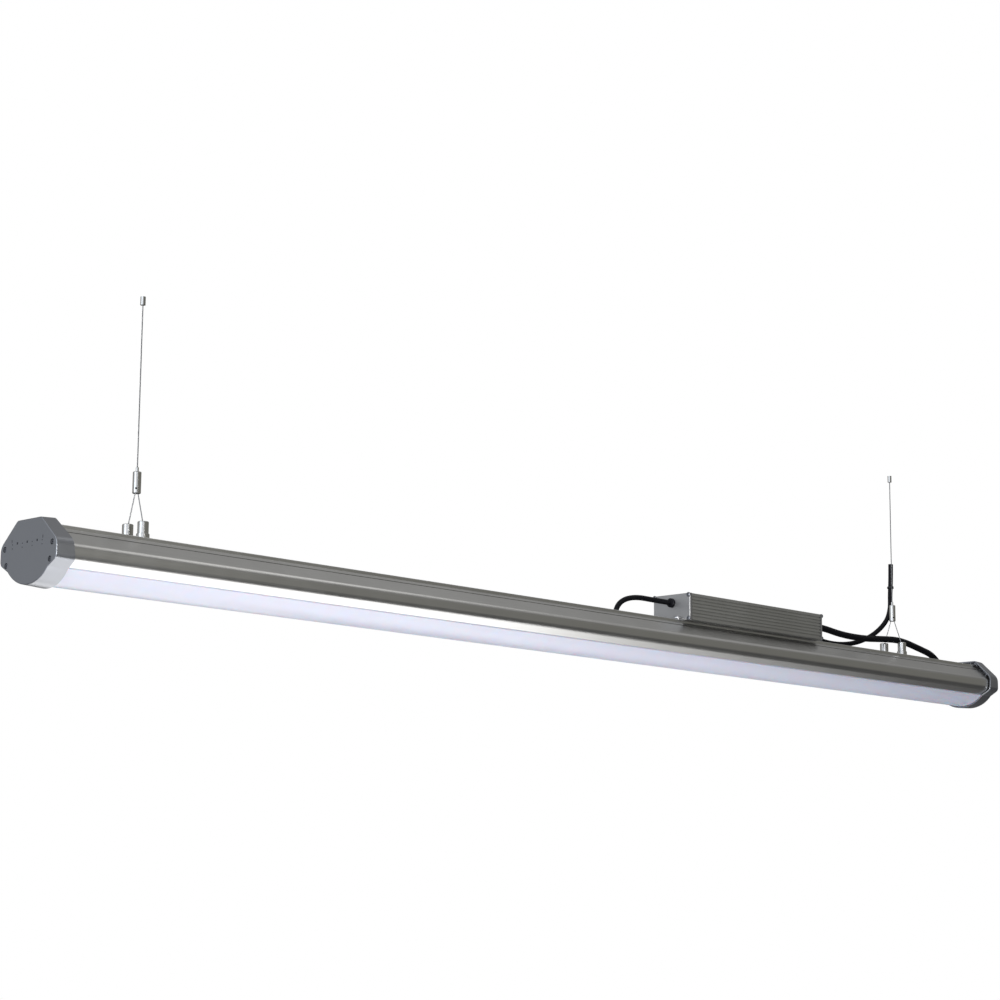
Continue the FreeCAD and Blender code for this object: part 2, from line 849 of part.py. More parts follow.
def terminal_block(x, route):
    """Terminal block on the tray with a socket for the lead's end."""
    half, wide = terminal_length / 2, terminal_width / 2
    block = box(x - half, x + half, -wide, wide, tray_top_z, tray_top_z + terminal_height)
    block = block.makeChamfer(0.8, [e for e in block.Edges if e.BoundBox.ZMin > tray_top_z + 1])
    for side in (-1, 1):
        peg_x = x + side * terminal_peg_offset
        block = block.fuse(rod(terminal_peg_radius, (peg_x, 0, tray_bottom_z), (peg_x, 0, tray_top_z)))
        hole = terminal_pin_radius + fit_clearance
        pin = (x, side * terminal_pin_y)
        block = block.cut(rod(hole, (*pin, tray_top_z - 1), (*pin, tray_top_z + terminal_pin_rise)))
    end, before = Vector(*route[-1]), Vector(*route[-2])
    socket = rod(lead_radius + boot_clearance, tuple(end), tuple(before))
    return block.cut(socket).removeSplitter()


def terminal_pins():
    """Contact pins from the terminal blocks to the LED boards."""
    pins = []
    for x in (terminal_left_x, terminal_right_x):
        for side in (-1, 1):
            place = (x, side * terminal_pin_y)
            top = tray_top_z + terminal_pin_rise
            pins.append(rod(terminal_pin_radius, (*place, tray_bottom_z), (*place, top)))
    return group(pins)


def driver_screw_places():
    """Centres of the four corner screws of a driver plate."""
    heights = (deck_z + driver_screw_inset_z, driver_top_z - driver_screw_inset_z)
    return [(side * driver_screw_y, z) for side in (-1, 1) for z in heights]


def driver_case():
    """Ribbed aluminium case of the driver, open at both ends."""
    x = case_start_x
    outer = [(driver_half_width, driver_top_z, 1.0), (driver_half_width, deck_z, 1.0)]
    section = rounded_face(both_sides(outer), x)
    inner_y = driver_half_width - driver_wall
    inner = [(inner_y, driver_top_z - driver_wall, 0.5), (inner_y, deck_z + driver_wall, 0.5)]
    bosses = [disc(y, z, driver_boss_radius, x) for y, z in driver_screw_places()]
    voids = [cut_all(rounded_face(both_sides(inner), x), bosses)]
    voids += [disc(y, z, driver_screw_radius + fit_clearance, x) for y, z in driver_screw_places()]
    half = driver_groove_width / 2
    middle_z = (deck_z + driver_top_z) / 2
    for index in range(driver_rib_count):
        z = middle_z + (index - (driver_rib_count - 1) / 2) * driver_rib_pitch
        floor = driver_half_width - driver_groove_depth
        for side in (-1, 1):
            groove = [
                (side * (driver_half_width + 1), z - half, 0),
                (side * (driver_half_width + 1), z + half, 0),
                (side * floor, z + half * 0.8, 0),
                (side * floor, z - half * 0.8, 0),
            ]
            voids.append(rounded_face(groove, x))
    for index in range(driver_top_groove_count):
        y = (index - (driver_top_groove_count - 1) / 2) * driver_top_groove_pitch
        floor = driver_top_z - driver_groove_depth
        groove = [
            (y - half, driver_top_z + 1, 0),
            (y + half, driver_top_z + 1, 0),
            (y + half * 0.8, floor, 0),
            (y - half * 0.8, floor, 0),
        ]
        voids.append(rounded_face(groove, x))
    section = cut_all(section, voids)
    return section.extrude(Vector(case_end_x - case_start_x, 0, 0)).Solids[0]


def driver_core():
    """Potted circuit of the driver."""
    floor = deck_z + driver_wall
    top = driver_top_z - driver_wall - driver_core_top_gap
    half = driver_core_half_width
    return box(core_left_x, core_right_x, -half, half, floor, top)


def driver_plate_shape(boots):
    """Left-hand driver plate with its foot; boots lists the (y, z) of its lead holes."""
    x0, x1 = driver_left_x, driver_left_x + driver_plate
    plate = box(x0, x1, -driver_half_width, driver_half_width, deck_z, driver_top_z)
    plate = plate.makeChamfer(0.5, [e for e in plate.Edges if e.BoundBox.XMax < x0 + 0.001])
    foot = box(x0 - foot_length, x0 + 1, -foot_half_width, foot_half_width, deck_z, deck_z + foot_thickness)
    tips = [e for e in foot.Edges if e.BoundBox.XMax < x0 - 1 and e.BoundBox.ZLength > 1]
    plate = plate.fuse(foot.makeFillet(2.0, tips)).removeSplitter()
    tools = []
    for y, z in driver_screw_places():
        tools.append(rod(driver_screw_radius + cap_hole_clearance, (x0 - 1, y, z), (x1 + 1, y, z)))
    for y, z in boots:
        tools.append(rod(boot_neck_radius + fit_clearance, (x0 - 1, y, z), (x1 + 1, y, z)))
    for side in (-1, 1):
        place = (x0 - foot_screw_offset, side * slot_y)
        tools.append(rod(foot_screw_radius + cap_hole_clearance, (*place, deck_z - 1), (*place, deck_z + 5)))
    return cut_all(plate, tools)


def driver_gasket_shape():
    """Thin seal between the case and the left-hand plate."""
    x0 = driver_left_x + driver_plate
    x1 = x0 + driver_gasket
    inset = driver_gasket_inset
    half = driver_half_width - inset
    pad = box(x0, x1, -half, half, deck_z + inset, driver_top_z - inset)
    low = deck_z + driver_wall + driver_screw_inset_z
    high = driver_top_z - driver_wall - driver_screw_inset_z + 0.6
    inner = driver_core_half_width
    pad = pad.cut(box(x0 - 1, x1 + 1, -inner, inner, low - 0.6, high))
    for y, z in driver_screw_places():
        pad = pad.cut(rod(driver_screw_radius + cap_hole_clearance, (x0 - 1, y, z), (x1 + 1, y, z)))
    return pad


def driver_screws():
    """Corner screws of the left-hand driver plate."""
    screws = []
    for y, z in driver_screw_places():
        screw = machine_screw(
            driver_screw_head_radius,
            driver_screw_head_height,
            driver_screw_radius,
            driver_screw_length,
            driver_screw_head_radius * 0.4,
            driver_screw_head_height * 0.5,
        )
        screw.translate(Vector(driver_left_x, y, z))
        screws.append(screw)
    return group(screws)


def to_driver_right(shape):
    """Reflect a piece of the driver's left end to its right end."""
    return shape.mirror(Vector(driver_left_x + driver_length / 2, 0, 0), left_x)


def foot_places():
    """Centres of the four screws that hold the driver's feet."""
    xs = (driver_left_x - foot_screw_offset, driver_right_x + foot_screw_offset)
    return [(x, side * slot_y) for x in xs for side in (-1, 1)]


def foot_screws():
    """Screws through the driver's feet into the slot nuts."""
    screws = []
    top = deck_z + foot_thickness
    nut_bottom = deck_z - slot_lip - slot_nut_lift - slot_nut_height
    for x, y in foot_places():
        screw = machine_screw(
            foot_screw_head_radius,
            foot_screw_head_height,
            foot_screw_radius,
            top - nut_bottom,
            foot_screw_head_radius * 0.45,
            foot_screw_head_height * 0.5,
        )
        screw.rotate(Vector(0, 0, 0), Vector(0, 1, 0), 90)
        screw.translate(Vector(x, y, top))
        screws.append(screw)
    return group(screws)


def slot_nuts(places, bore):
    """Square nuts in the T slots, pressed up against the slot's lips."""
    nuts = []
    top = deck_z - slot_lip - slot_nut_lift
    half = slot_nut_side / 2
    for x, y in places:
        nut = box(x - half, x + half, y - half, y + half, top - slot_nut_height, top)
        nuts.append(nut.cut(rod(bore, (x, y, top - 10), (x, y, top + 1))))
    return group(nuts)


def boot(x, y, z, direction):
    """Rubber boot where a lead leaves a driver plate, along +x or -x."""
    bore = lead_radius + boot_clearance
    inner = -driver_plate - boot_lip_height
    profile = [
        (bore, inner),
        (boot_lip_radius, inner),
        (boot_lip_radius, -driver_plate),
        (boot_neck_radius, -driver_plate),
        (boot_neck_radius, 0),
        (boot_flange_radius, 0),
        (boot_flange_radius, boot_flange_height - boot_flange_round),
        (boot_flange_radius - boot_flange_round, boot_flange_height),
        (boot_sleeve_radius, boot_flange_height),
        (boot_tip_radius, boot_length),
        (bore, boot_length),
    ]
    return turned(profile, (x, y, z), Vector(direction, 0, 0))


def nipple_base(x, y):
    """Flanged base of a hanger nipple with its stud and spigot."""
    stud_bottom = -slot_lip - slot_nut_lift - slot_nut_height
    profile = [
        (0, stud_bottom),
        (nipple_stud_radius, stud_bottom),
        (nipple_stud_radius, 0),
        (nipple_flange_radius, 0),
        (nipple_flange_radius, nipple_flange_height - 0.4),
        (nipple_flange_radius - 0.4, nipple_flange_height),
        (nipple_spigot_radius, nipple_flange_height),
        (nipple_spigot_radius, nipple_flange_height + nipple_spigot_height),
        (0, nipple_flange_height + nipple_spigot_height),
    ]
    return turned(profile, (x, y, deck_z))


def nipple_cap(x, y):
    """Screwed cap of a hanger nipple that holds one end of the bridle."""
    bottom = deck_z + nipple_flange_height
    height = nipple_top_z - bottom
    socket = nipple_spigot_height + 0.2
    profile = [
        (nipple_spigot_radius + fit_clearance, 0),
        (nipple_radius, 0),
        (nipple_radius, height - nipple_edge),
        (nipple_radius - nipple_edge, height),
        (nipple_hole_radius, height),
        (nipple_hole_radius, height - nipple_roof),
        (nipple_chamber_radius, height - nipple_roof),
        (nipple_chamber_radius, socket),
        (nipple_spigot_radius + fit_clearance, socket),
    ]
    return turned(profile, (x, y, bottom))


def turned_about_wire(shape, x, yaw):
    """Turn a piece of a hanger about its suspension wire."""
    shape = shape.copy()
    shape.rotate(Vector(x, 0, 0), up, yaw)
    return shape


def nipple_places(x, yaw):
    """Centres of a hanger's front and rear nipples, both in their slots."""
    shift = slot_y * math.tan(math.radians(yaw))
    return [(x + shift, -slot_y), (x - shift, slot_y)]


def bridle(x, yaw):
    """Wire loop over the gripper's pin with a ball in each nipple."""
    reach = slot_y / math.cos(math.radians(yaw))
    loop = pin_radius + fit_clearance + bridle_radius
    roof = nipple_top_z - nipple_roof
    seat = math.sqrt(bridle_ball_radius ** 2 - nipple_hole_radius ** 2)
    ball_z = roof - seat - fit_clearance
    drop = gripper_pin_z - ball_z
    span = math.hypot(reach, drop)
    lean = math.atan2(reach, drop) - math.asin(loop / span)
    side_y_at_pin = loop * math.cos(lean)
    side_z_at_pin = gripper_pin_z + loop * math.sin(lean)
    top = Vector(x, 0, gripper_pin_z + loop)
    left = Vector(x, -side_y_at_pin, side_z_at_pin)
    right = Vector(x, side_y_at_pin, side_z_at_pin)
    balls = [Vector(x, -reach, ball_z), Vector(x, reach, ball_z)]
    edges = [
        Part.LineSegment(balls[0], left).toShape(),
        Part.Arc(left, top, right).toShape(),
        Part.LineSegment(right, balls[1]).toShape(),
    ]
    ring = Part.Wire(Part.makeCircle(bridle_radius, balls[0], left - balls[0]))
    wire = Part.Wire(edges).makePipeShell([ring], True, False)
    return wire.fuse([Part.makeSphere(bridle_ball_radius, ball) for ball in balls]).removeSplitter()


def gripper_body(x):
    """Turned body of a gripper with its cone, chamber, wire hole and bridle pocket."""
    floor = chamber_floor
    cone_foot = gripper_height - gripper_lip - collet_length
    gap = 2 * fit_clearance
    profile = [
        (0, 0),
        (gripper_radius - 0.4, 0),
        (gripper_radius, 0.4),
        (gripper_radius, gripper_height - 0.6),
        (gripper_radius - 0.6, gripper_height),
        (stem_radius + fit_clearance, gripper_height),
        (stem_radius + fit_clearance, gripper_height - gripper_lip),
        (collet_top_radius + gap, gripper_height - gripper_lip),
        (chamber_radius, cone_foot),
        (chamber_radius, floor),
        (0, floor),
    ]
    body = turned(profile, (x, 0, gripper_bottom_z))
    z0 = gripper_bottom_z
    pocket = box(x - pocket_half_x, x + pocket_half_x, -pocket_half_y, pocket_half_y, z0 - 1, z0 + pocket_height)
    pin_hole = rod(pin_radius + fit_clearance / 2, (x - 5, 0, gripper_pin_z), (x + 5, 0, gripper_pin_z))
    hole_z = z0 + side_hole_rise
    side_hole = rod(side_hole_radius, (x, 0, hole_z), (x - 5, -5, hole_z))
    return cut_all(body, [pocket, pin_hole, side_hole])


def gripper_pin(x):
    """Cross pin in a gripper that the bridle loops over."""
    reach = gripper_radius - 0.1
    return rod(pin_radius, (x - reach, 0, gripper_pin_z), (x + reach, 0, gripper_pin_z))


def release_nozzle(x):
    """Spring-loaded collet with the nozzle that is pressed to let the wire go."""
    collet_top = gripper_height - gripper_lip - 0.15
    collet_foot = collet_top - collet_length
    bore = wire_radius + fit_clearance
    reach = gripper_height + stem_exposed
    profile = [
        (bore, collet_foot),
        (collet_foot_radius, collet_foot),
        (collet_top_radius, collet_top),
        (stem_radius, collet_top),
        (stem_radius, reach - 0.3),
        (stem_radius - 0.3, reach),
        (bore, reach),
    ]
    nozzle = turned(profile, (x, 0, gripper_bottom_z))
    half = collet_slit / 2
    z0 = gripper_bottom_z + collet_foot - 1
    z1 = gripper_bottom_z + collet_top - 1.2
    for slit in (box(x - 5, x + 5, -half, half, z0, z1), box(x - half, x + half, -5, 5, z0, z1)):
        nozzle = nozzle.cut(slit)
    return nozzle


def release_spring(x):
    """Coil spring under the collet."""
    bottom = gripper_bottom_z + chamber_floor + spring_wire_radius
    collet_foot = gripper_top_z - gripper_lip - 0.15 - collet_length
    height = collet_foot - bottom - spring_wire_radius
    helix = Part.makeHelix(spring_pitch, height, spring_radius)
    ring = Part.Wire(Part.makeCircle(spring_wire_radius, Vector(spring_radius, 0, 0), Vector(0, 1, 0)))
    spring = Part.Wire(helix.Edges).makePipeShell([ring], True, True)
    spring.translate(Vector(x, 0, bottom))
    return spring


def suspension_wire(x):
    """Straight wire from the gripper to the end stop."""
    bottom = gripper_bottom_z + chamber_floor + wire_tail
    top = suspension_height + end_stop_height - end_stop_roof
    return rod(wire_radius, (x, 0, bottom), (x, 0, top))


def end_stop(x):
    """Stop crimped on the upper end of a suspension wire."""
    bore = wire_radius + fit_clearance / 2
    profile = [
        (bore, 0),
        (end_stop_radius, 0),
        (end_stop_radius, end_stop_height),
        (0, end_stop_height),
        (0, end_stop_height - end_stop_roof),
        (bore, end_stop_height - end_stop_roof),
    ]
    return turned(profile, (x, 0, suspension_height))


def mains_place(z):
    """Where the mains lead stands at a height between its last three points."""
    below, above = mains_route[-3], mains_route[-2]
    share = (z - below[2]) / (above[2] - below[2])
    return [low + (high - low) * share for low, high in zip(below[:2], above[:2])]


def cable_tie():
    """Tie that holds the mains lead against the suspension wire."""
    lead_x, lead_y = mains_place(tie_z)
    z0, z1 = tie_z - tie_height / 2, tie_z + tie_height / 2
    wire_reach = wire_radius + tie_clearance + tie_thickness
    lead_reach = lead_radius + tie_clearance + tie_thickness
    wire_centre = Vector(hanger_right_x, 0, z0)
    lead_centre = Vector(lead_x, lead_y, z0)
    across = lead_centre - wire_centre
    apart = across.Length
    along = math.atan2(across.y, across.x)
    spread = math.acos((wire_reach - lead_reach) / apart)
    spots = []
    for centre, reach in ((wire_centre, wire_reach), (lead_centre, lead_reach)):
        for sign in (-1, 1):
            angle = along + sign * spread
            spots.append(centre + Vector(math.cos(angle), math.sin(angle), 0) * reach)
    web = Part.makePolygon([spots[0], spots[2], spots[3], spots[1], spots[0]])
    band = Part.Face(web).extrude(Vector(0, 0, tie_height))
    for centre, reach in ((wire_centre, wire_reach), (lead_centre, lead_reach)):
        band = band.fuse(Part.makeCylinder(reach, tie_height, centre))
    away = Vector(math.cos(along), math.sin(along), 0)
    head_centre = lead_centre + away * (lead_reach + tie_head / 4 - tie_thickness / 2)
    half = tie_head / 2
    head = box(-half, half, -half / 2, half / 2, 0, tie_height)
    head.rotate(Vector(0, 0, 0), up, math.degrees(along) + 90)
    head.translate(head_centre)
    band = band.fuse(head).removeSplitter()
    wire_hole = rod(wire_radius + tie_clearance, (hanger_right_x, 0, z0 - 1), (hanger_right_x, 0, z1 + 1))
    return cut_all(band, [wire_hole, tube(mains_route, lead_radius + tie_clearance)])


os.makedirs("parts", exist_ok=True)

write("housing", housing())
write("diffuser", diffuser())
cap, pad, screws = end_cap(), gasket(), cap_screws()
write("end_cap_left", cap)
write("end_cap_right", mirror_to_right(cap))
write("end_gasket_left", pad)
write("end_gasket_right", mirror_to_right(pad))
write("end_cap_screws", group(screws.Solids + mirror_to_right(screws).Solids))

for index in range(board_count):
    write("led_board_" + str(index + 1), led_board(index))
write("led_packages", led_packages())
write("board_links", board_links())
write("board_screws", board_screws())
write("terminal_block_left", terminal_block(terminal_left_x, output_left_route))
write("terminal_block_right", terminal_block(terminal_right_x, output_right_route))
write("terminal_pins", terminal_pins())

write("driver_case", driver_case())
write("driver_core", driver_core())
output_boot = (0.0, output_z)
mains_boot = (mains_offset_y, mains_z)
write("driver_plate_left", driver_plate_shape([output_boot]))
write("driver_plate_right", to_driver_right(driver_plate_shape([output_boot, mains_boot])))
write("driver_gasket_left", driver_gasket_shape())
write("driver_gasket_right", to_driver_right(driver_gasket_shape()))
write("driver_screws", group(driver_screws().Solids + to_driver_right(driver_screws()).Solids))
write("driver_foot_screws", foot_screws())
write("driver_slot_nuts", slot_nuts(foot_places(), foot_screw_radius + fit_clearance))

write("output_boot_left", boot(driver_left_x, *output_boot, -1))
write("output_boot_right", boot(driver_right_x, *output_boot, 1))
write("mains_boot", boot(driver_right_x, *mains_boot, 1))
write("grommet_left", grommet(left_grommet_x, left_grommet_half_length, output_left_route))
write("grommet_right", grommet(right_grommet_x, right_grommet_half_length, output_right_route))
write("output_lead_left", report_route("output_lead_left", output_left_route, lead_radius))
write("output_lead_right", report_route("output_lead_right", output_right_route, lead_radius))
write("mains_lead", report_route("mains_lead", mains_route, lead_radius))
write("cable_tie", cable_tie())

hangers = (("left", hanger_left_x, hanger_left_yaw), ("right", hanger_right_x, hanger_right_yaw))
nut_places = [place for _, x, yaw in hangers for place in nipple_places(x, yaw)]
write("hanger_slot_nuts", slot_nuts(nut_places, nipple_stud_radius + fit_clearance))
write("gripper_pins", group([turned_about_wire(gripper_pin(x), x, yaw) for _, x, yaw in hangers]))
for name, x, yaw in hangers:
    for place, (nipple_x, nipple_y) in zip(("front", "rear"), nipple_places(x, yaw)):
        write("nipple_base_" + name + "_" + place, nipple_base(nipple_x, nipple_y))
        write("nipple_cap_" + name + "_" + place, nipple_cap(nipple_x, nipple_y))
    write("bridle_" + name, turned_about_wire(bridle(x, yaw), x, yaw))
    write("gripper_body_" + name, turned_about_wire(gripper_body(x), x, yaw))
    write("release_nozzle_" + name, release_nozzle(x))
    write("release_spring_" + name, release_spring(x))
    write("suspension_wire_" + name, suspension_wire(x))
    write("end_stop_" + name, end_stop(x))
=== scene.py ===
"""Looks of the linear high bay light: finishes, rounded edges, leads, wires, springs and studio.

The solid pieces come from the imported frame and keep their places. Sizes are written in
millimetres in the housing's own axes and are moved to the frame by place().
"""
import logging
import math
from dataclasses import dataclass
from enum import Enum

import bmesh
import bpy
from mathutils import Matrix, Vector


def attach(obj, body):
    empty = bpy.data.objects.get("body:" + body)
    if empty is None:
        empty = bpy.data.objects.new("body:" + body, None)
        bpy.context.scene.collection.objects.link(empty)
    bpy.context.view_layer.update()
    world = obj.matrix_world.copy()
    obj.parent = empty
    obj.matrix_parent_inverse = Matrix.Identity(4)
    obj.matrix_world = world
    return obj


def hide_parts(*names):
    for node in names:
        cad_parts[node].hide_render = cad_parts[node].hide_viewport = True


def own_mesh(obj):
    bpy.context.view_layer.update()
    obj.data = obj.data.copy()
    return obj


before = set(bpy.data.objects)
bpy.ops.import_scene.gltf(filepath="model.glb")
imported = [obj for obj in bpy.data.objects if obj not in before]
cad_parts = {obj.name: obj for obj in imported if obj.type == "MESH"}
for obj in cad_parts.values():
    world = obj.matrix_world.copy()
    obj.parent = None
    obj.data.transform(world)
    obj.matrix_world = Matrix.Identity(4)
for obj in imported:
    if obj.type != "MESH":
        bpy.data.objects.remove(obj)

logging.basicConfig(level=logging.INFO, format="%(message)s")
LOG = logging.getLogger("high_bay_light")

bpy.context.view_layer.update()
MM = 0.001
MIDDLE_X = 721.5
HANG_Z = 250.0
LENGTH = 1500.0
HANGER_X = {"left": 118.0, "right": 1325.0}
BODY = "luminaire"
Colour = tuple[float, float, float]
Point = tuple[float, float, float]
WHITE: Colour = (1.0, 1.0, 1.0)
SOFT_WHITE: Colour = (0.99, 0.99, 1.0)
SKY_WHITE: Colour = (0.78, 0.89, 1.0)


def place(x: float, y: float, z: float) -> Vector:
    """Move a point from the housing's axes in millimetres to the frame in metres."""
    return Vector(((x - MIDDLE_X) * MM, y * MM, (z - HANG_Z) * MM))


def rgba(colour: Colour) -> tuple[float, float, float, float]:
    """Add full opacity to a colour."""
    return (*colour, 1.0)


class Graph:
    """A node tree with short calls that add nodes and join them."""

    def __init__(self, tree: bpy.types.NodeTree) -> None:
        """Start from an empty tree.

        Args:
            tree: The tree to fill.
        """
        self.tree = tree
        self.start: bpy.types.Node | None = None
        self.end: bpy.types.Node | None = None
        tree.nodes.clear()

    def add(self, kind: str, sockets: dict | None = None, **settings: object) -> bpy.types.Node:
        """Add a node.

        Args:
            kind: The node's type, without ShaderNode, or in full where it starts with Node.
            sockets: Values for its inputs, by name or number. A node's output joins it.
            **settings: Values for the node's own settings.

        Returns:
            The new node.
        """
        node = self.tree.nodes.new("ShaderNode" + kind if not kind.startswith("Node") else kind)
        for name, value in settings.items():
            setattr(node, name, value)
        for key, value in (sockets or {}).items():
            socket = node.inputs[key]
            if isinstance(value, bpy.types.NodeSocket):
                self.tree.links.new(value, socket)
            else:
                socket.default_value = value
        return node

    def math(self, operation: str, first: object, second: object = 0.0) -> bpy.types.NodeSocket:
        """Add a math node and return its result."""
        return self.add("Math", {0: first, 1: second}, operation=operation).outputs[0]

    def mix(self, factor: object, first: object, second: object) -> bpy.types.NodeSocket:
        """Add a colour mix and return its result."""
        return self.add("Mix", {0: factor, 6: first, 7: second}, data_type="RGBA").outputs[2]

    def span(
        self, value: object, limits: tuple[float, float], results: tuple[float, float] = (0.0, 1.0)
    ) -> bpy.types.NodeSocket:
        """Add a map range node, which goes from one result to the other between the limits."""
        numbers = dict(enumerate((value, *limits, *results)))
        return self.add("MapRange", numbers).outputs[0]


class EffectLibrary:
    """Shader groups that several finishes share, each built once."""

    FINE_SHARE = 0.6
    BROAD_SHARE = 0.4

    def __init__(self) -> None:
        """Build every shared effect."""
        self.grain = self._grain()
        self.wear = self._wear()
        self.dust = self._dust()

    @staticmethod
    def _group(
        name: str, inputs: list[tuple[str, str, object]], outputs: list[tuple[str, str]]
    ) -> Graph:
        """Make an empty group with named inputs and outputs.

        Args:
            name: The group's name.
            inputs: Name, socket type and first value of each input.
            outputs: Name and socket type of each output.

        Returns:
            A graph of the group's tree, with its two end nodes.
        """
        tree = bpy.data.node_groups.new(name, "ShaderNodeTree")
        for label, kind, value in inputs:
            socket = tree.interface.new_socket(label, in_out="INPUT", socket_type=kind)
            socket.default_value = value
        for label, kind in outputs:
            tree.interface.new_socket(label, in_out="OUTPUT", socket_type=kind)
        graph = Graph(tree)
        graph.start = graph.add("NodeGroupInput")
        graph.end = graph.add("NodeGroupOutput")
        return graph

    def _grain(self) -> bpy.types.NodeTree:
        """Build streaks or speckle that follow the piece's own axes, by their stretch.

        Returns:
            The group's tree.
        """
        graph = self._group(
            "surface_grain",
            [
                ("Colour", "NodeSocketColor", (0.5, 0.5, 0.5, 1.0)),
                ("Deep Colour", "NodeSocketColor", (0.4, 0.4, 0.4, 1.0)),
                ("Stretch", "NodeSocketVector", (1.0, 1.0, 1.0)),
                ("Detail Scale", "NodeSocketFloat", 1.0),
                ("Roughness", "NodeSocketFloat", 0.4),
                ("Roughness Range", "NodeSocketFloat", 0.1),
            ],
            [
                ("Colour", "NodeSocketColor"),
                ("Roughness", "NodeSocketFloat"),
                ("Height", "NodeSocketFloat"),
            ],
        )
        start = graph.start.outputs
        here = graph.add("TexCoord").outputs["Object"]
        stretched = graph.add("VectorMath", {0: here, 1: start["Stretch"]}, operation="MULTIPLY")
        fine = graph.add(
            "TexNoise",
            {"Vector": stretched.outputs[0], "Scale": start["Detail Scale"], "Detail": 4.0},
        )
        broad = graph.add("TexNoise", {"Vector": here, "Scale": 14.0, "Detail": 2.0})
        spread = graph.span(fine.outputs["Fac"], (0.3, 0.7))
        patch = graph.span(broad.outputs["Fac"], (0.35, 0.65))
        share = graph.math(
            "ADD",
            graph.math("MULTIPLY", spread, self.FINE_SHARE),
            graph.math("MULTIPLY", patch, self.BROAD_SHARE),
        )
        colour = graph.mix(share, start["Deep Colour"], start["Colour"])
        centred = graph.math("SUBTRACT", share, 0.5)
        lifted = graph.math("MULTIPLY", centred, start["Roughness Range"])
        rough = graph.math("ADD", start["Roughness"], lifted)
        for label, value in (("Colour", colour), ("Roughness", rough), ("Height", spread)):
            graph.tree.links.new(value, graph.end.inputs[label])
        return graph.tree

    def _wear(self) -> bpy.types.NodeTree:
        """Build handling marks: soft smears that change a surface's roughness.

        Returns:
            The group's tree.
        """
        graph = self._group(
            "handling_marks",
            [("Roughness", "NodeSocketFloat", 0.4), ("Amount", "NodeSocketFloat", 0.06)],
            [("Roughness", "NodeSocketFloat")],
        )
        start = graph.start.outputs
        here = graph.add("TexCoord").outputs["Object"]
        smear = graph.add(
            "TexNoise", {"Vector": here, "Scale": 33.0, "Detail": 5.0, "Distortion": 1.2}
        )
        level = graph.span(smear.outputs["Fac"], (0.45, 0.75))
        added = graph.math("MULTIPLY", level, start["Amount"])
        rough = graph.math("ADD", start["Roughness"], added)
        graph.tree.links.new(rough, graph.end.inputs["Roughness"])
        return graph.tree

    def _dust(self) -> bpy.types.NodeTree:
        """Build a thin film of dust on faces that look up.

        Returns:
            The group's tree.
        """
        graph = self._group(
            "settled_dust",
            [
                ("Colour", "NodeSocketColor", (0.5, 0.5, 0.5, 1.0)),
                ("Dust Colour", "NodeSocketColor", (0.42, 0.41, 0.39, 1.0)),
                ("Amount", "NodeSocketFloat", 0.12),
            ],
            [("Colour", "NodeSocketColor")],
        )
        start = graph.start.outputs
        normal = graph.add("NewGeometry").outputs["Normal"]
        lift = graph.add("SeparateXYZ", {0: normal}).outputs["Z"]
        top = graph.span(lift, (0.6, 1.0))
        here = graph.add("TexCoord").outputs["Object"]
        cloud = graph.add("TexNoise", {"Vector": here, "Scale": 60.0, "Detail": 6.0}).outputs["Fac"]
        share = graph.math("MULTIPLY", graph.math("MULTIPLY", top, cloud), start["Amount"])
        colour = graph.mix(share, start["Colour"], start["Dust Colour"])
        graph.tree.links.new(colour, graph.end.inputs["Colour"])
        return graph.tree


class Grain(Enum):
    """Ways that a finish's fine texture runs, as stretches of the frame's axes."""

    EXTRUDED = (4.0, 900.0, 900.0)
    TURNED = (70.0, 70.0, 5200.0)
    BRUSHED = (1400.0, 1400.0, 40.0)
    MOULDED = (1900.0, 1900.0, 1900.0)
    SHEATH = (420.0, 2600.0, 2600.0)
    CAST = (700.0, 700.0, 700.0)


@dataclass(frozen=True)
class Finish:
    """One surface finish: its colours, gloss and fine texture."""

    name: str
    colour: Colour
    deep_colour: Colour
    grain: Grain
    roughness: float
    roughness_range: float = 0.1
    metallic: float = 0.0
    bump: float = 0.15
    bump_depth: float = 0.00002
    marks: float = 0.05
    dust: float = 0.08
    coat: float = 0.0
    coat_roughness: float = 0.2
    subsurface: float = 0.0
    subsurface_scale: float = 0.004
    specular: float = 0.5

    def material(self, effects: EffectLibrary) -> bpy.types.Material:
        """Build the finish's material.

        Args:
            effects: The shared shader groups.

        Returns:
            The material, on the piece's own coordinates.
        """
        material = bpy.data.materials.new(self.name)
        material.use_nodes = True
        graph = Graph(material.node_tree)
        grain = graph.add(
            "Group",
            {
                "Colour": rgba(self.colour),
                "Deep Colour": rgba(self.deep_colour),
                "Stretch": self.grain.value,
                "Detail Scale": 1.0,
                "Roughness": self.roughness,
                "Roughness Range": self.roughness_range,
            },
            node_tree=effects.grain,
        )
        wear = graph.add(
            "Group",
            {"Roughness": grain.outputs["Roughness"], "Amount": self.marks},
            node_tree=effects.wear,
        )
        dust = graph.add(
            "Group",
            {"Colour": grain.outputs["Colour"], "Amount": self.dust},
            node_tree=effects.dust,
        )
        bump = graph.add(
            "Bump",
            {
                "Strength": self.bump,
                "Distance": self.bump_depth,
                "Height": grain.outputs["Height"],
            },
        )
        shader = graph.add(
            "BsdfPrincipled",
            {
                "Base Color": dust.outputs["Colour"],
                "Roughness": wear.outputs["Roughness"],
                "Metallic": self.metallic,
                "Normal": bump.outputs["Normal"],
                "Coat Weight": self.coat,
                "Coat Roughness": self.coat_roughness,
                "Subsurface Weight": self.subsurface,
                "Subsurface Scale": self.subsurface_scale,
                "Specular IOR Level": self.specular,
            },
        )
        graph.add("OutputMaterial", {"Surface": shader.outputs[0]})
        return material


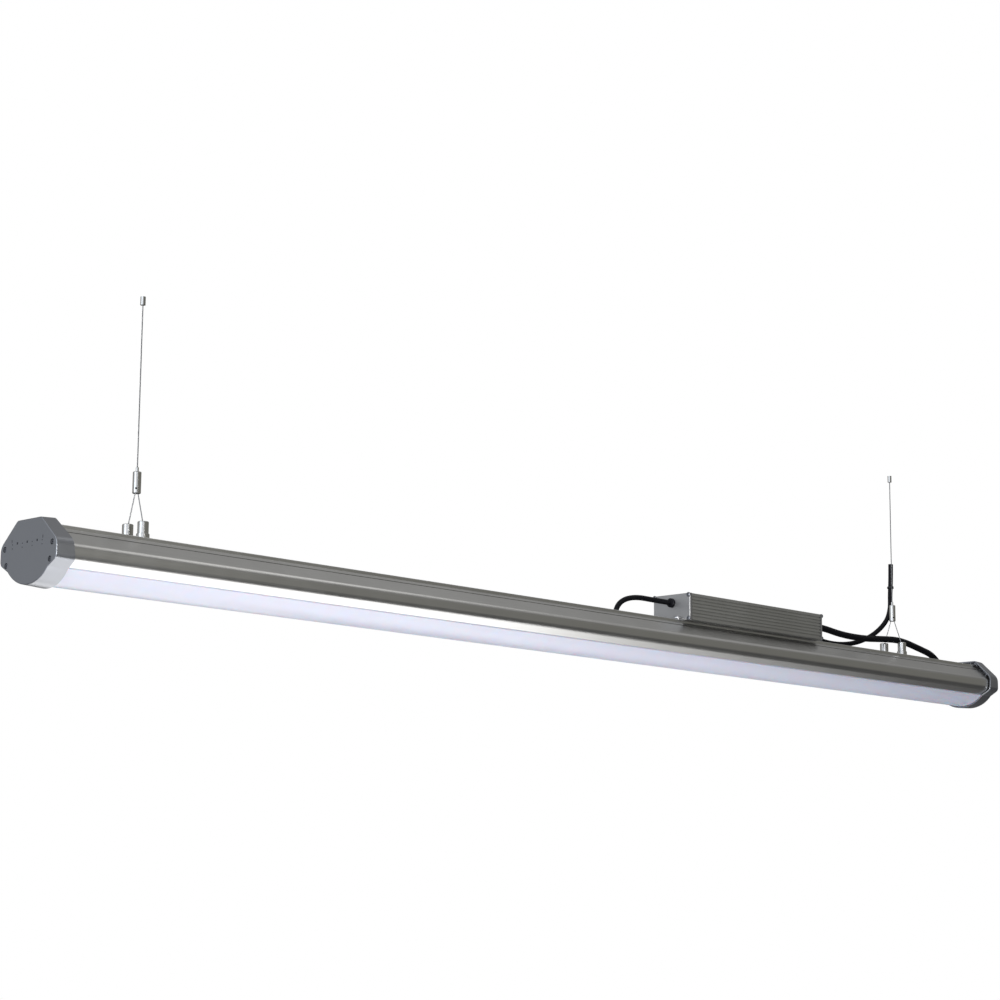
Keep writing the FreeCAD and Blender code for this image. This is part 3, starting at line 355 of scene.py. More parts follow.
HOUSING = Finish(
    "satin_anodised", (0.46, 0.457, 0.442), (0.435, 0.432, 0.418), Grain.EXTRUDED,
    roughness=0.31, roughness_range=0.05, metallic=1.0, bump=0.05, marks=0.03, dust=0.01,
)
OPAL = Finish(
    "opal_diffuser", (0.35, 0.355, 0.41), (0.342, 0.347, 0.401), Grain.MOULDED,
    roughness=0.38, roughness_range=0.05, bump=0.05, marks=0.04, dust=0.0, subsurface=0.4,
)
CAP = Finish(
    "silver_cap", (0.21, 0.216, 0.229), (0.198, 0.204, 0.216), Grain.MOULDED,
    roughness=0.31, roughness_range=0.06, metallic=0.9, bump=0.06,
)
GASKET = Finish(
    "gasket_rubber", (0.02, 0.02, 0.022), (0.015, 0.015, 0.017), Grain.MOULDED, roughness=0.7,
)
SCREW = Finish(
    "plated_screw", (0.55, 0.55, 0.56), (0.42, 0.42, 0.43), Grain.TURNED,
    roughness=0.3, roughness_range=0.12, metallic=1.0,
)
DARK_SCREW = Finish(
    "darkened_screw", (0.15, 0.155, 0.17), (0.10, 0.104, 0.115), Grain.TURNED,
    roughness=0.34, metallic=0.85,
)
BOARD = Finish(
    "board_white", (0.80, 0.80, 0.78), (0.76, 0.76, 0.74), Grain.MOULDED, roughness=0.45,
)
LENS = Finish(
    "lens_yellow", (0.86, 0.66, 0.18), (0.80, 0.58, 0.14), Grain.MOULDED,
    roughness=0.25, coat=0.4,
)
CONNECTOR = Finish(
    "connector_white", (0.74, 0.74, 0.72), (0.70, 0.70, 0.68), Grain.MOULDED, roughness=0.4,
)
TERMINAL = Finish(
    "terminal_grey", (0.62, 0.62, 0.60), (0.56, 0.56, 0.54), Grain.MOULDED, roughness=0.35,
)
BRASS = Finish(
    "pin_brass", (0.72, 0.52, 0.20), (0.60, 0.42, 0.15), Grain.TURNED,
    roughness=0.28, metallic=1.0,
)
DRIVER = Finish(
    "driver_extrusion", (0.325, 0.324, 0.306), (0.285, 0.283, 0.268), Grain.EXTRUDED,
    roughness=0.42, roughness_range=0.12, metallic=0.9,
)
PLATE = Finish(
    "driver_plate", (0.285, 0.282, 0.277), (0.265, 0.262, 0.257), Grain.CAST,
    roughness=0.42, metallic=0.85, bump=0.10,
)
POTTING = Finish(
    "potting_resin", (0.03, 0.03, 0.032), (0.02, 0.02, 0.022), Grain.CAST, roughness=0.5,
)
SHEATH = Finish(
    "lead_sheath", (0.003, 0.003, 0.004), (0.002, 0.002, 0.003), Grain.SHEATH,
    roughness=0.5, roughness_range=0.12, bump=0.2, dust=0.002, specular=0.08,
)
BOOT = Finish(
    "boot_rubber", (0.004, 0.004, 0.006), (0.003, 0.003, 0.004), Grain.MOULDED,
    roughness=0.5, dust=0.002, specular=0.1,
)
NICKEL = Finish(
    "turned_nickel", (0.43, 0.426, 0.413), (0.39, 0.386, 0.373), Grain.TURNED,
    roughness=0.14, roughness_range=0.05, metallic=1.0, bump=0.05, dust=0.0,
)
WIRE = Finish(
    "wire_steel", (0.200, 0.200, 0.200), (0.152, 0.152, 0.152), Grain.BRUSHED,
    roughness=0.34, metallic=1.0,
)
TIE = Finish(
    "tie_nylon", (0.008, 0.008, 0.009), (0.006, 0.006, 0.007), Grain.MOULDED,
    roughness=0.45, specular=0.3,
)
# Painted shade: a near-black finish for the fills in the end caps' recesses, where the face has
# only shade.
RECESS_SHADE = Finish(
    "painted_recess_shade", (0.012, 0.013, 0.017), (0.008, 0.009, 0.012), Grain.MOULDED,
    roughness=0.6, marks=0.0,
)

NODE_FINISHES = (
    (("housing",), HOUSING),
    (("diffuser",), OPAL),
    (("end_cap_left", "end_cap_right"), CAP),
    (("end_gasket", "driver_gasket"), GASKET),
    (("end_cap_screws", "driver_screws"), DARK_SCREW),
    (("board_screws", "driver_foot_screws"), SCREW),
    (("driver_slot_nuts", "hanger_slot_nuts", "gripper_pins", "release_spring"), SCREW),
    (("led_board",), BOARD),
    (("led_packages",), LENS),
    (("board_links",), CONNECTOR),
    (("terminal_block",), TERMINAL),
    (("terminal_pins",), BRASS),
    (("driver_case",), DRIVER),
    (("driver_plate",), PLATE),
    (("driver_core",), POTTING),
    (("output_lead", "mains_lead"), SHEATH),
    (("output_boot", "mains_boot", "grommet"), BOOT),
    (("nipple_base", "nipple_cap", "gripper_body", "release_nozzle", "end_stop"), NICKEL),
    (("bridle", "suspension_wire"), WIRE),
    (("cable_tie",), TIE),
)


def finish_object(piece: bpy.types.Object, material: bpy.types.Material) -> None:
    """Give a new piece its material."""
    piece.data.materials.clear()
    piece.data.materials.append(material)


def new_mesh(
    name: str, shape: bmesh.types.BMesh, smooth_angle: float = 30.0, outward: bool = True
) -> bpy.types.Object:
    """Turn a finished bmesh into an object at the origin.

    Args:
        name: The piece's name.
        shape: The bmesh, which is freed.
        smooth_angle: Edges sharper than this, in degrees, stay hard.
        outward: Whether the faces still have to be turned outwards.

    Returns:
        The new object, in the scene.
    """
    if outward:
        bmesh.ops.recalc_face_normals(shape, faces=shape.faces[:])
    mesh = bpy.data.meshes.new(name)
    shape.to_mesh(mesh)
    shape.free()
    mesh.shade_smooth()
    mesh.set_sharp_from_angle(angle=math.radians(smooth_angle))
    piece = bpy.data.objects.new(name, mesh)
    bpy.context.scene.collection.objects.link(piece)
    return piece


@dataclass
class PhotoCamera:
    """The camera that took the photograph, found from the light's own lines."""

    location: Point = (-1.99499, -1.808617, -0.589924)
    down: Point = (0.13288, 0.11752, -0.98414)
    forward: Point = (0.70872, 0.68287, 0.17724)
    lens: float = 89.10
    sensor: float = 36.0
    near: float = 0.05
    far: float = 60.0

    def build(self) -> bpy.types.Object:
        """Make the scene's camera.

        Returns:
            The camera object.
        """
        data = bpy.data.cameras.new("photo_camera")
        data.lens = self.lens
        data.sensor_width = self.sensor
        data.clip_start = self.near
        data.clip_end = self.far
        camera = bpy.data.objects.new("photo_camera", data)
        bpy.context.scene.collection.objects.link(camera)
        back = -Vector(self.forward).normalized()
        upward = -Vector(self.down)
        upward = (upward - back * upward.dot(back)).normalized()
        across = upward.cross(back)
        turn = Matrix((across, upward, back)).transposed().to_4x4()
        camera.matrix_world = Matrix.Translation(self.location) @ turn
        bpy.context.scene.camera = camera
        return camera


@dataclass
class Lead:
    """A round lead on a smooth line through its route's points."""

    name: str
    node: str
    route: tuple[Point, ...]
    exit: Point
    length: float
    far_end: str
    lay: str
    radius: float = 3.0
    round_steps: int = 7
    length_steps: int = 16
    order: int = 3

    def build(self, material: bpy.types.Material) -> bpy.types.Object:
        """Make the lead as a curve in place of its solid.

        Args:
            material: The sheath's material.

        Returns:
            The curve object.
        """
        curve = bpy.data.curves.new(self.name, "CURVE")
        curve.dimensions = "3D"
        curve.bevel_depth = self.radius * MM
        curve.bevel_resolution = self.round_steps
        curve.resolution_u = self.length_steps
        curve.use_fill_caps = True
        spline = curve.splines.new("NURBS")
        spline.points.add(len(self.route) - 1)
        for point, spot in zip(spline.points, self.route):
            point.co = (*place(*spot), 1.0)
        spline.order_u = self.order
        spline.use_endpoint_u = True
        piece = bpy.data.objects.new(self.name, curve)
        bpy.context.scene.collection.objects.link(piece)
        finish_object(piece, material)
        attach(piece, BODY)
        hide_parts(self.node)
        LOG.info("%s follows %d points", self.name, len(self.route))
        return piece


@dataclass
class Leads:
    """The two output leads and the mains lead, with the routes of the solid model."""

    output_z: float = 48.0
    mains_z: float = 37.5
    mains_y: float = 15.0
    core_left: float = 893.3
    core_right: float = 1134.3
    plate_left: float = 888.3
    plate_right: float = 1139.3
    terminal_left: float = 787.4
    terminal_right: float = 1448.0
    thick_radius: float = 4.0
    left_length: float = 136.1
    right_length: float = 327.8
    mains_length: float = 275.2

    def build(self, material: bpy.types.Material) -> list[bpy.types.Object]:
        """Make the three leads.

        Args:
            material: The sheath's material.

        Returns:
            The lead objects, output left, output right, mains.
        """
        left = (
            (self.core_left, 0.0, self.output_z),
            (859.0, 0.0, self.output_z),
            (826.4, 0.0, 48.6),
            (804.0, 0.0, 43.4),
            (791.6, 0.0, 33.1),
            (789.9, 0.0, 17.5),
            (self.terminal_left, 0.0, 2.2),
        )
        right = (
            (self.core_right, 0.0, self.output_z),
            (1171.0, 0.0, self.output_z),
            (1215.0, 0.0, 42.4),
            (1262.0, 0.0, 41.9),
            (1301.0, 0.0, 45.1),
            (1341.0, 0.0, 47.5),
            (1385.0, 0.0, 39.9),
            (1414.5, 0.0, 34.2),
            (1436.0, 0.0, 15.6),
            (self.terminal_right, 0.0, 1.8),
        )
        mains = (
            (self.core_right, self.mains_y, self.mains_z),
            (1170.0, self.mains_y, self.mains_z),
            (1216.2, 15.4, 31.6),
            (1261.0, 12.6, 36.3),
            (1300.6, 11.6, 51.2),
            (1325.2, 9.1, 70.3),
            (1332.3, 8.0, 87.3),
            (1329.3, 5.9, 103.8),
            (1327.9, 3.4, 124.0),
            (1328.1, 3.2, 144.0),
        )
        return [
            Lead(
                "output_cord_left", "output_lead_left", left,
                (self.plate_left, 0.0, self.output_z), self.left_length, "object", "hanging",
            ).build(material),
            Lead(
                "output_cord_right", "output_lead_right", right,
                (self.plate_right, 0.0, self.output_z), self.right_length, "object", "hanging",
                self.thick_radius,
            ).build(material),
            Lead(
                "mains_cord", "mains_lead", mains,
                (self.plate_right, self.mains_y, self.mains_z), self.mains_length, "bare", "taut",
            ).build(material),
        ]


@dataclass
class LeadBoot:
    """The rubber boot where the thicker output lead leaves the driver's right plate."""

    node: str = "output_boot_right"
    foot_x: float = 1139.3
    z: float = 48.0
    bore: float = 4.05
    flange_radius: float = 6.4
    flange_height: float = 3.4
    sleeve_radius: float = 5.0
    tip_radius: float = 4.6
    length: float = 5.4
    edge: float = 0.7
    steps: int = 48

    def build(self, material: bpy.types.Material) -> bpy.types.Object:
        """Turn the boot about the lead in place of its solid.

        Args:
            material: The boot's rubber.

        Returns:
            The boot object.
        """
        shape = bmesh.new()
        profile = (
            (0.0, self.bore),
            (0.0, self.flange_radius),
            (self.flange_height - self.edge, self.flange_radius),
            (self.flange_height, self.flange_radius - self.edge),
            (self.flange_height, self.sleeve_radius),
            (self.length, self.tip_radius),
            (self.length, self.bore),
        )
        spots = [
            shape.verts.new(place(self.foot_x + along, 0.0, self.z + reach))
            for along, reach in profile
        ]
        edges = [shape.edges.new(ends) for ends in zip(spots, spots[1:] + spots[:1])]
        bmesh.ops.spin(
            shape,
            geom=spots + edges,
            cent=place(self.foot_x, 0.0, self.z),
            axis=(1, 0, 0),
            angle=math.tau,
            steps=self.steps,
            use_merge=True,
        )
        piece = new_mesh("output_boot_wide", shape)
        finish_object(piece, material)
        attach(piece, BODY)
        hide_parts(self.node)
        LOG.info("%s is turned in %d steps", piece.name, self.steps)
        return piece


@dataclass(frozen=True)
class LongEdge:
    """A rounded edge along the housing, with its round in the solid and its full round."""

    y: float
    z: float
    centre_y: float
    centre_z: float
    modelled: float
    full: float


@dataclass
class HousingSkin:
    """The housing with the full rounds of its long edges and the step under its rails."""

    node: str = "housing"
    ear: LongEdge = LongEdge(
        y=40.0, z=-6.84, centre_y=35.5, centre_z=-4.26, modelled=4.5, full=7.0
    )
    crease: LongEdge = LongEdge(
        y=40.0, z=6.0, centre_y=37.5, centre_z=4.83, modelled=2.5, full=7.0
    )
    rail: LongEdge = LongEdge(
        y=18.5, z=26.7, centre_y=18.0, centre_z=26.2, modelled=0.5, full=0.8
    )
    rail_foot_z: float = 24.04
    step_width: float = 1.0
    step_drop: float = 0.84
    slack: float = 0.03
    merge: float = 0.001
    smooth_angle: float = 20.0

    def build(self, material: bpy.types.Material) -> bpy.types.Object:
        """Copy the housing's solid, widen its rounds and shade it smooth.

        Args:
            material: The anodised finish.

        Returns:
            The housing object.
        """
        shape = bmesh.new()
        shape.from_mesh(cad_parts[self.node].data)
        bmesh.ops.remove_doubles(shape, verts=shape.verts[:], dist=self.merge * MM)
        for side in (-1, 1):
            for edge in (self.ear, self.crease, self.rail):
                self._widen(shape, edge, side)
            self._step(shape, side)
        piece = new_mesh("housing_skin", shape, self.smooth_angle, outward=False)
        weigh = piece.modifiers.new("flat_faces_first", "WEIGHTED_NORMAL")
        weigh.keep_sharp = True
        finish_object(piece, material)
        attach(piece, BODY)
        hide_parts(self.node)
        LOG.info("%s has %d faces", piece.name, len(piece.data.polygons))
        return piece

    def _widen(self, shape: bmesh.types.BMesh, edge: LongEdge, side: int) -> None:
        """Scale one round about the corner that its two flat faces make.

        Args:
            shape: The housing's mesh.
            edge: The round to widen.
            side: -1 for the front and 1 for the back.
        """
        corner = place(MIDDLE_X, side * edge.y, edge.z)
        centre = place(MIDDLE_X, side * edge.centre_y, edge.centre_z)
        reach = (Vector((edge.y, edge.z)) - Vector((edge.centre_y, edge.centre_z))).length
        tangent = math.sqrt(reach**2 - edge.modelled**2) * MM
        chosen = []
        for vert in shape.verts:
            off_corner = math.hypot(vert.co.y - corner.y, vert.co.z - corner.z)
            off_centre = math.hypot(vert.co.y - centre.y, vert.co.z - centre.z)
            on_round = abs(off_centre - edge.modelled * MM) < self.slack * MM
            if on_round and off_corner < tangent + self.slack * MM:
                chosen.append(vert)
        share = edge.full / edge.modelled
        about = Matrix.Translation(-corner)
        bmesh.ops.scale(shape, vec=(1.0, share, share), space=about, verts=chosen)
        LOG.info("round at y %.1f z %.1f: %d points", side * edge.y, edge.z, len(chosen))

    def _step(self, shape: bmesh.types.BMesh, side: int) -> None:
        """Lower the foot of a rail so that a narrow step shows under it.

        Args:
            shape: The housing's mesh.
            side: -1 for the front and 1 for the back.
        """
        cut = place(MIDDLE_X, side * (self.rail.y + self.step_width), 0.0)
        bmesh.ops.bisect_plane(
            shape,
            geom=shape.verts[:] + shape.edges[:] + shape.faces[:],
            plane_co=cut,
            plane_no=(0, 1, 0),
            dist=self.merge * MM,
        )
        foot = place(MIDDLE_X, side * self.rail.y, self.rail_foot_z)
        feet = [
            vert
            for vert in shape.verts
            if max(abs(vert.co.y - foot.y), abs(vert.co.z - foot.z)) < self.slack * MM
        ]
        bmesh.ops.translate(shape, vec=(0, 0, -self.step_drop * MM), verts=feet)


@dataclass
class PaintedRecessShade:
    """Dark fills that paint the shade into the recess row of an end cap's face."""

    side: str
    face_x: float
    inward: int
    depth: float = 0.4
    sunk: float = 0.12
    margin: float = 0.03
    row_z: float = 10.6
    pitch: float = 14.9
    count: int = 3
    square: float = 2.1
    square_shift: float = 1.8
    dot_radius: float = 0.6
    dot_sides: int = 20
    dot_shift: float = 5.6
    dot_lift: float = 0.6
    dot_drop: float = 3.6
    end_reach: float = 23.2
    end_lift: float = 2.4
    end_width: float = 0.9
    end_height: float = 2.8
    softening: float = 0.06
    soften_steps: int = 2
    rim_angle: float = 1.0

    def build(self, material: bpy.types.Material) -> bpy.types.Object:
        """Make the fills of one cap as one piece.

        Args:
            material: The dark finish of the painted shade.

        Returns:
            The piece, inside the cap's recesses.
        """
        # Each fill is a dark piece that paints the shade of one recess.
        shape = bmesh.new()
        middle = (self.count - 1) / 2
        for index in range(self.count):
            y = (index - middle) * self.pitch + self.square_shift
            self._block(shape, y, self.row_z, self.square, self.square)
        for index in range(self.count + 1):
            y = (index - middle) * self.pitch - self.dot_shift
            for drop in (0.0, self.dot_drop):
                self._disc(shape, y, self.row_z - self.dot_lift - drop)
        for reach in (-self.end_reach, self.end_reach):
            y = self.square_shift + reach
            self._block(shape, y, self.row_z + self.end_lift, self.end_width, self.end_height)
        piece = new_mesh("cap_recess_shade_" + self.side, shape)
        finish_object(piece, material)
        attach(piece, BODY)
        LOG.info("%s has %d faces", piece.name, len(piece.data.polygons))
        return piece

    def _centre(self, y: float, z: float) -> Vector:
        """Middle of a fill that lies on the recess floor."""
        return place(self.face_x + self.inward * (self.sunk + self.depth) / 2, y, z)

    def _soften(self, shape: bmesh.types.BMesh, edges: set[bmesh.types.BMEdge]) -> None:
        """Bevel the edges of a fill a little.

        Args:
            shape: The bmesh that holds the fill.
            edges: The fill's edges.
        """
        bmesh.ops.bevel(
            shape,
            geom=list(edges),
            offset=self.softening * MM,
            affect="EDGES",
            segments=self.soften_steps,
            profile=0.5,
            material=-1,
        )

    def _block(
        self, shape: bmesh.types.BMesh, y: float, z: float, width: float, height: float
    ) -> None:
        """Add a rectangular fill with softened edges.

        Args:
            shape: The bmesh to add to.
            y: Its place across the cap.
            z: Its height.
            width: Width of the recess.
            height: Height of the recess.
        """
        size = (self.depth - self.sunk, width - self.margin, height - self.margin)
        scale = Matrix.Diagonal((*(length * MM for length in size), 1.0))
        spot = Matrix.Translation(self._centre(y, z))
        made = bmesh.ops.create_cube(shape, size=1.0, matrix=spot @ scale)
        self._soften(shape, {edge for vert in made["verts"] for edge in vert.link_edges})

    def _disc(self, shape: bmesh.types.BMesh, y: float, z: float) -> None:
        """Add a round fill.

        Args:
            shape: The bmesh to add to.
            y: Its place across the cap.
            z: Its height.
        """
        radius = (self.dot_radius - self.margin / 2) * MM
        turn = Matrix.Rotation(math.pi / 2, 4, "Y")
        made = bmesh.ops.create_cone(
            shape,
            cap_ends=True,
            segments=self.dot_sides,
            radius1=radius,
            radius2=radius,
            depth=(self.depth - self.sunk) * MM,
            matrix=Matrix.Translation(self._centre(y, z)) @ turn,
        )
        edges = {edge for vert in made["verts"] for edge in vert.link_edges}
        self._soften(shape, {edge for edge in edges if edge.calc_face_angle(0.0) > self.rim_angle})


@dataclass
class ReleaseSpring:
    """A gripper's spring, which shortens when its release nozzle is pressed."""

    side: str
    travel: float = 2.0
    merge: float = 0.0001
    smooth_angle: float = 40.0

    def build(self, material: bpy.types.Material) -> bpy.types.Object:
        """Copy the spring's solid, merge its doubled points and shade it smooth.

        Args:
            material: The spring's material.

        Returns:
            The spring object.
        """
        node = "release_spring_" + self.side
        shape = bmesh.new()
        shape.from_mesh(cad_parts[node].data)
        bmesh.ops.remove_doubles(shape, verts=shape.verts[:], dist=self.merge * MM)
        piece = new_mesh("release_coil_" + self.side, shape, self.smooth_angle, outward=False)
        finish_object(piece, material)
        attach(piece, BODY)
        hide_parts(node)
        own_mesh(piece)
        return piece


@dataclass
class StrandedWire:
    """A suspension wire of six strands laid round a core."""

    side: str
    x: float
    bottom: float = 77.6
    top: float = 253.4
    radius: float = 0.6
    lay_length: float = 7.0
    steps_a_turn: int = 10
    strand_sides: int = 6
    strand_count: int = 6
    core_share: float = 1.02
    smooth_angle: float = 60.0

    def build(self, material: bpy.types.Material) -> bpy.types.Object:
        """Make the wire's strands in place of its plain solid.

        Args:
            material: The wire's material.

        Returns:
            The wire object.
        """
        strand = self.radius / 3
        turns = (self.top - self.bottom) / self.lay_length
        steps = round(turns * self.steps_a_turn)
        climb = (self.top - self.bottom) * MM / steps
        foot = place(self.x, 0.0, self.bottom)
        shape = bmesh.new()
        for index in range(self.strand_count):
            angle = math.tau * index / self.strand_count
            reach = (self.radius - strand) * MM
            centre = foot + Vector((reach * math.cos(angle), reach * math.sin(angle), 0.0))
            self._sweep(shape, centre, foot, strand * MM, math.tau * turns, steps, climb)
        core = strand * MM * self.core_share
        self._sweep(shape, foot, foot, core, 0.0, 1, (self.top - self.bottom) * MM)
        piece = new_mesh("wire_strands_" + self.side, shape, self.smooth_angle)
        finish_object(piece, material)
        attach(piece, BODY)
        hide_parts("suspension_wire_" + self.side)
        LOG.info("%s has %d strands of %.1f turns", piece.name, self.strand_count, turns)
        return piece

    def _sweep(
        self,
        shape: bmesh.types.BMesh,
        centre: Vector,
        axis_point: Vector,
        radius: float,
        angle: float,
        steps: int,
        climb: float,
    ) -> None:
        """Carry one strand's round section up the wire.

        Args:
            shape: The bmesh to add to.
            centre: Centre of the section at the foot.
            axis_point: A point on the wire's axis.
            radius: The strand's radius, in metres.
            angle: How far the strand turns in all, in radians.
            steps: Number of steps.
            climb: Rise at each step, in metres.
        """
        ring = bmesh.ops.create_circle(
            shape,
            cap_ends=True,
            radius=radius,
            segments=self.strand_sides,
            matrix=Matrix.Translation(centre),
        )["verts"]
        cap = ring[0].link_faces[0]
        edges = list(cap.edges)
        if angle:
            made = bmesh.ops.spin(
                shape,
                geom=ring + edges,
                cent=axis_point,
                axis=(0, 0, 1),
                dvec=(0, 0, climb),
                angle=angle,
                steps=steps,
                use_merge=False,
                use_duplicate=False,
            )["geom_last"]
            rim = [item for item in made if isinstance(item, bmesh.types.BMEdge)]
        else:
            made = bmesh.ops.extrude_edge_only(shape, edges=edges)["geom"]
            raised = [item for item in made if isinstance(item, bmesh.types.BMVert)]
            bmesh.ops.translate(shape, vec=(0, 0, climb), verts=raised)
            rim = [
                item
                for item in made
                if isinstance(item, bmesh.types.BMEdge) and all(v in made for v in item.verts)
            ]
        bmesh.ops.contextual_create(shape, geom=rim)


@dataclass
class Lamp:
    """One soft lamp of the studio."""

    name: str
    location: Point
    target: Point
    size: tuple[float, float]
    power: float
    colour: Colour = (1.0, 1.0, 1.0)

    def build(self) -> bpy.types.Object:
        """Make the lamp, unseen by the camera.

        Returns:
            The lamp object.
        """
        data = bpy.data.lights.new(self.name, "AREA")
        data.shape = "RECTANGLE"
        data.size, data.size_y = self.size
        data.energy = self.power
        data.color = self.colour
        lamp = bpy.data.objects.new(self.name, data)
        bpy.context.scene.collection.objects.link(lamp)
        lamp.location = self.location
        aim = Vector(self.target) - Vector(self.location)
        lamp.rotation_mode = "QUATERNION"
        lamp.rotation_quaternion = aim.to_track_quat("-Z", "Y")
        lamp.visible_camera = False
        return lamp


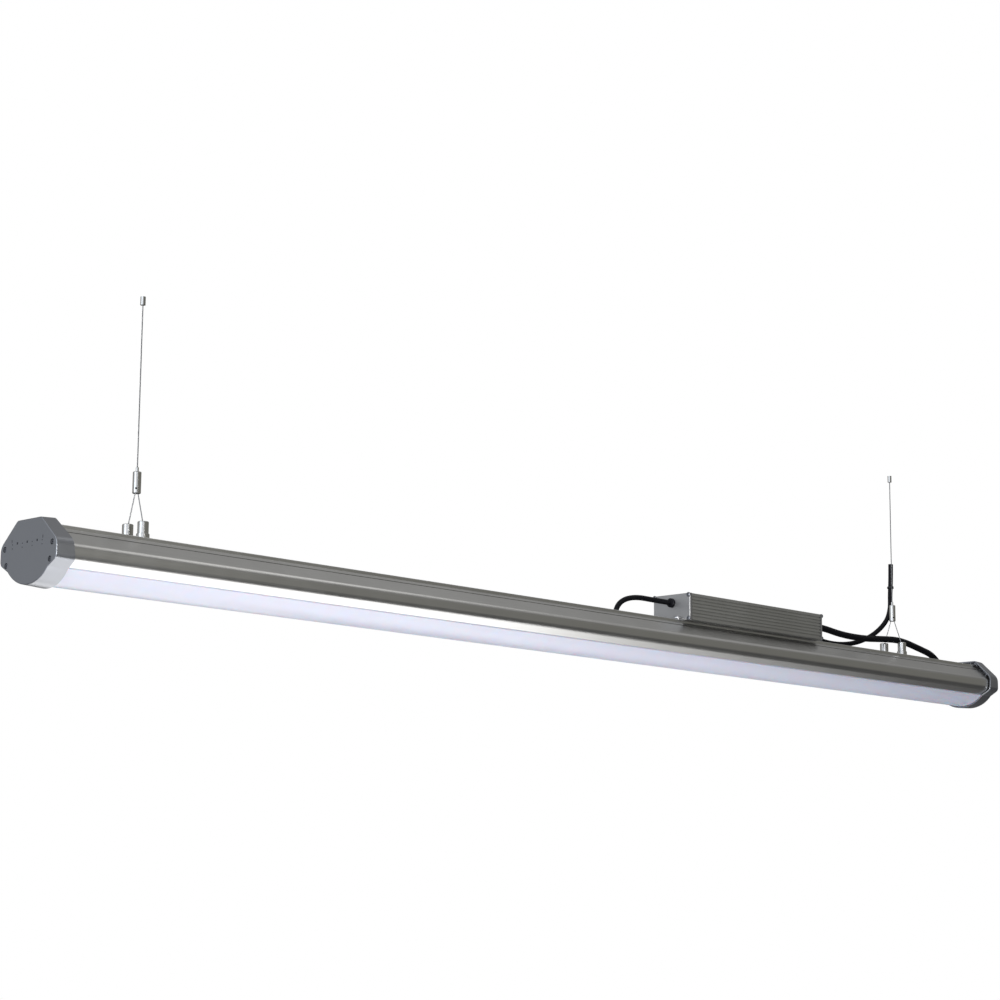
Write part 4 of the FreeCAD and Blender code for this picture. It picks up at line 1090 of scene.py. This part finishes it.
@dataclass
class Studio:
    """A pale floor, a white surround and soft lamps."""

    floor_z: float = -1.45
    floor_half: float = 12.0
    floor_tones: tuple[Colour, Colour] = ((0.80, 0.80, 0.80), (0.83, 0.83, 0.83))
    floor_bounce: Colour = (0.06, 0.06, 0.06)
    floor_glow: float = 0.45
    surround_levels: tuple[tuple[float, float], ...] = (
        (0.0, 0.04), (0.44, 0.05), (0.50, 0.07), (0.545, 0.29), (0.587, 0.29), (0.605, 0.29),
        (0.66, 0.20), (0.72, 0.22), (0.774, 0.25), (0.84, 0.36), (0.88, 0.44), (1.0, 0.50),
    )
    horizon: tuple[float, float] = (0.5, 0.7)
    warm: Colour = (1.0, 0.99, 0.89)
    cool: Colour = (0.92, 0.97, 1.09)
    left_glow: float = 1.3
    left_limits: tuple[float, float] = (-0.20, -0.60)
    back_limits: tuple[float, float] = (0.10, 0.60)
    back_share: float = 0.35
    gloss_share: float = 0.05
    lamps: tuple[Lamp, ...] = (
        Lamp("under_long", (0.12, 0.22, -1.00), (0.12, 0.22, -0.25), (1.25, 0.45), 5.1, SOFT_WHITE),
        Lamp(
            "under_front", (0.12, -0.26, -1.00), (0.12, -0.26, -0.25), (1.25, 0.51), 5.5, SOFT_WHITE
        ),
        Lamp(
            "under_middle", (0.92, 0.22, -1.00), (0.92, 0.22, -0.25), (0.35, 0.45), 0.41, SOFT_WHITE
        ),
        Lamp(
            "under_right", (1.30, 0.22, -1.00), (1.30, 0.22, -0.25), (0.41, 0.45), 0.28, SOFT_WHITE
        ),
        Lamp(
            "under_left", (-0.66, -0.28, -0.86), (-0.60, 0.0, -0.26), (0.45, 0.35), 1.8, SOFT_WHITE
        ),
        Lamp("under_back", (0.10, 0.84, -1.00), (-0.60, 0.0, -0.26), (0.55, 0.55), 2.6, SOFT_WHITE),
        Lamp("front_left", (-0.9, -1.25, -0.40), (-0.25, 0.0, -0.26), (0.8, 0.5), 24.0, SOFT_WHITE),
        Lamp("crease", (0.50, -0.46, 0.95), (-0.10, 0.0, -0.25), (0.9, 0.6), 1.7),
        Lamp("crease_right", (1.7, -0.6, 0.95), (0.3, 0.0, -0.25), (1.3, 0.6), 0.6),
        Lamp("nickel_left", (-3.3, -0.1, 0.35), (-0.6, 0.0, -0.2), (1.6, 1.6), 17.0, SKY_WHITE),
        Lamp("upper_front", (-0.9, -2.2, 1.4), (0.0, 0.0, -0.2), (1.6, 1.0), 12.0),
    )

    def build(self) -> None:
        """Make the floor, the surround and the lamps, and set the view transform."""
        self._floor()
        self._surround()
        for lamp in self.lamps:
            lamp.build()
        bpy.context.scene.view_settings.view_transform = "Standard"

    def _floor(self) -> None:
        """A floor that keeps the light's shadow and can be looked through from below."""
        shape = bmesh.new()
        bmesh.ops.create_grid(
            shape, x_segments=4, y_segments=4, size=self.floor_half,
            matrix=Matrix.Translation((0, 0, self.floor_z)),
        )
        floor = new_mesh("floor", shape)
        material = bpy.data.materials.new("pale_floor")
        material.use_nodes = True
        graph = Graph(material.node_tree)
        here = graph.add("TexCoord").outputs["Object"]
        cloud = graph.add("TexNoise", {"Vector": here, "Scale": 1.5, "Detail": 3.0}).outputs["Fac"]
        tone = graph.mix(cloud, *(rgba(colour) for colour in self.floor_tones))
        path = graph.add("LightPath").outputs
        seen = graph.math("MAXIMUM", path["Is Camera Ray"], path["Is Transmission Ray"])
        lit = graph.add("BsdfDiffuse", {"Color": graph.mix(seen, rgba(self.floor_bounce), tone)})
        glow = graph.add("Emission", {"Color": rgba(WHITE), "Strength": self.floor_glow})
        lifted = graph.add("AddShader", {0: lit.outputs[0], 1: glow.outputs[0]})
        shown = graph.add("MixShader", {0: seen, 1: lit.outputs[0], 2: lifted.outputs[0]})
        clear = graph.add("BsdfTransparent")
        below = graph.add("NewGeometry").outputs["Backfacing"]
        both = graph.add("MixShader", {0: below, 1: shown.outputs[0], 2: clear.outputs[0]})
        graph.add("OutputMaterial", {"Surface": both.outputs[0]})
        finish_object(floor, material)

    def _surround(self) -> None:
        """A white surround for the camera that lights the piece by height."""
        world = bpy.data.worlds.new("studio")
        bpy.context.scene.world = world
        world.use_nodes = True
        graph = Graph(world.node_tree)
        way = graph.add("TexCoord").outputs["Generated"]
        parts = graph.add("SeparateXYZ", {0: way}).outputs
        share = graph.span(parts["Z"], (-1.0, 1.0))
        side = graph.span(parts["X"], self.left_limits)
        rear = graph.span(parts["Y"], self.back_limits, (1.0, self.back_share))
        ramp = graph.add("ValToRGB", {0: share})
        stops = ramp.color_ramp.elements
        while len(stops) < len(self.surround_levels):
            stops.new(0.5)
        for stop, (spot, level) in zip(stops, self.surround_levels):
            stop.position = spot
            tint = self.warm if self.horizon[0] < spot < self.horizon[1] else WHITE
            stop.color = (*(level * part for part in tint), 1.0)
        path = graph.add("LightPath").outputs
        gloss = graph.math("MULTIPLY", path["Is Glossy Ray"], self.gloss_share)
        seen = graph.math("MAXIMUM", path["Is Camera Ray"], path["Is Transmission Ray"])
        white = graph.math("MAXIMUM", seen, gloss)
        glow = graph.math("MULTIPLY", graph.math("MULTIPLY", side, rear), self.left_glow)
        cool = graph.add(
            "CombineColor",
            {index: graph.math("MULTIPLY", glow, part) for index, part in enumerate(self.cool)},
        )
        lit = graph.add("VectorMath", {0: ramp.outputs[0], 1: cool.outputs[0]}).outputs[0]
        colour = graph.mix(white, lit, rgba(WHITE))
        shine = graph.add("Background", {"Color": colour, "Strength": 1.0})
        graph.add("OutputWorld", {"Surface": shine.outputs[0]})


class HighBayLight:
    """The whole light: leads, finishes on the solids, and the pieces added to them."""

    def __init__(self) -> None:
        """Prepare the shared effects and an empty store for the finishes' materials."""
        self.effects = EffectLibrary()
        self.materials: dict[str, bpy.types.Material] = {}

    def material(self, finish: Finish) -> bpy.types.Material:
        """Find a finish's material, which is made at its first use.

        Args:
            finish: The finish.

        Returns:
            Its material.
        """
        if finish.name not in self.materials:
            self.materials[finish.name] = finish.material(self.effects)
        return self.materials[finish.name]

    def dress_solids(self) -> None:
        """Give every solid piece of the frame its finish."""
        for prefixes, finish in NODE_FINISHES:
            for name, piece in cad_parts.items():
                if name.startswith(prefixes):
                    finish_object(piece, self.material(finish))
                    LOG.info("%s: %s", name, finish.name)

    def build(self) -> None:
        """Build the light in order."""
        Leads().build(self.material(SHEATH))
        self.dress_solids()
        HousingSkin().build(self.material(HOUSING))
        LeadBoot().build(self.material(BOOT))
        # Dark fills paint the shade inside both end caps' recesses.
        PaintedRecessShade("left", 0.0, 1).build(self.material(RECESS_SHADE))
        PaintedRecessShade("right", LENGTH, -1).build(self.material(RECESS_SHADE))
        for side, x in HANGER_X.items():
            StrandedWire(side, x).build(self.material(WIRE))
            ReleaseSpring(side).build(self.material(SCREW))


def main() -> None:
    """Build the camera, the light and the studio."""
    PhotoCamera().build()
    HighBayLight().build()
    Studio().build()


if __name__ == "__main__":
    main()
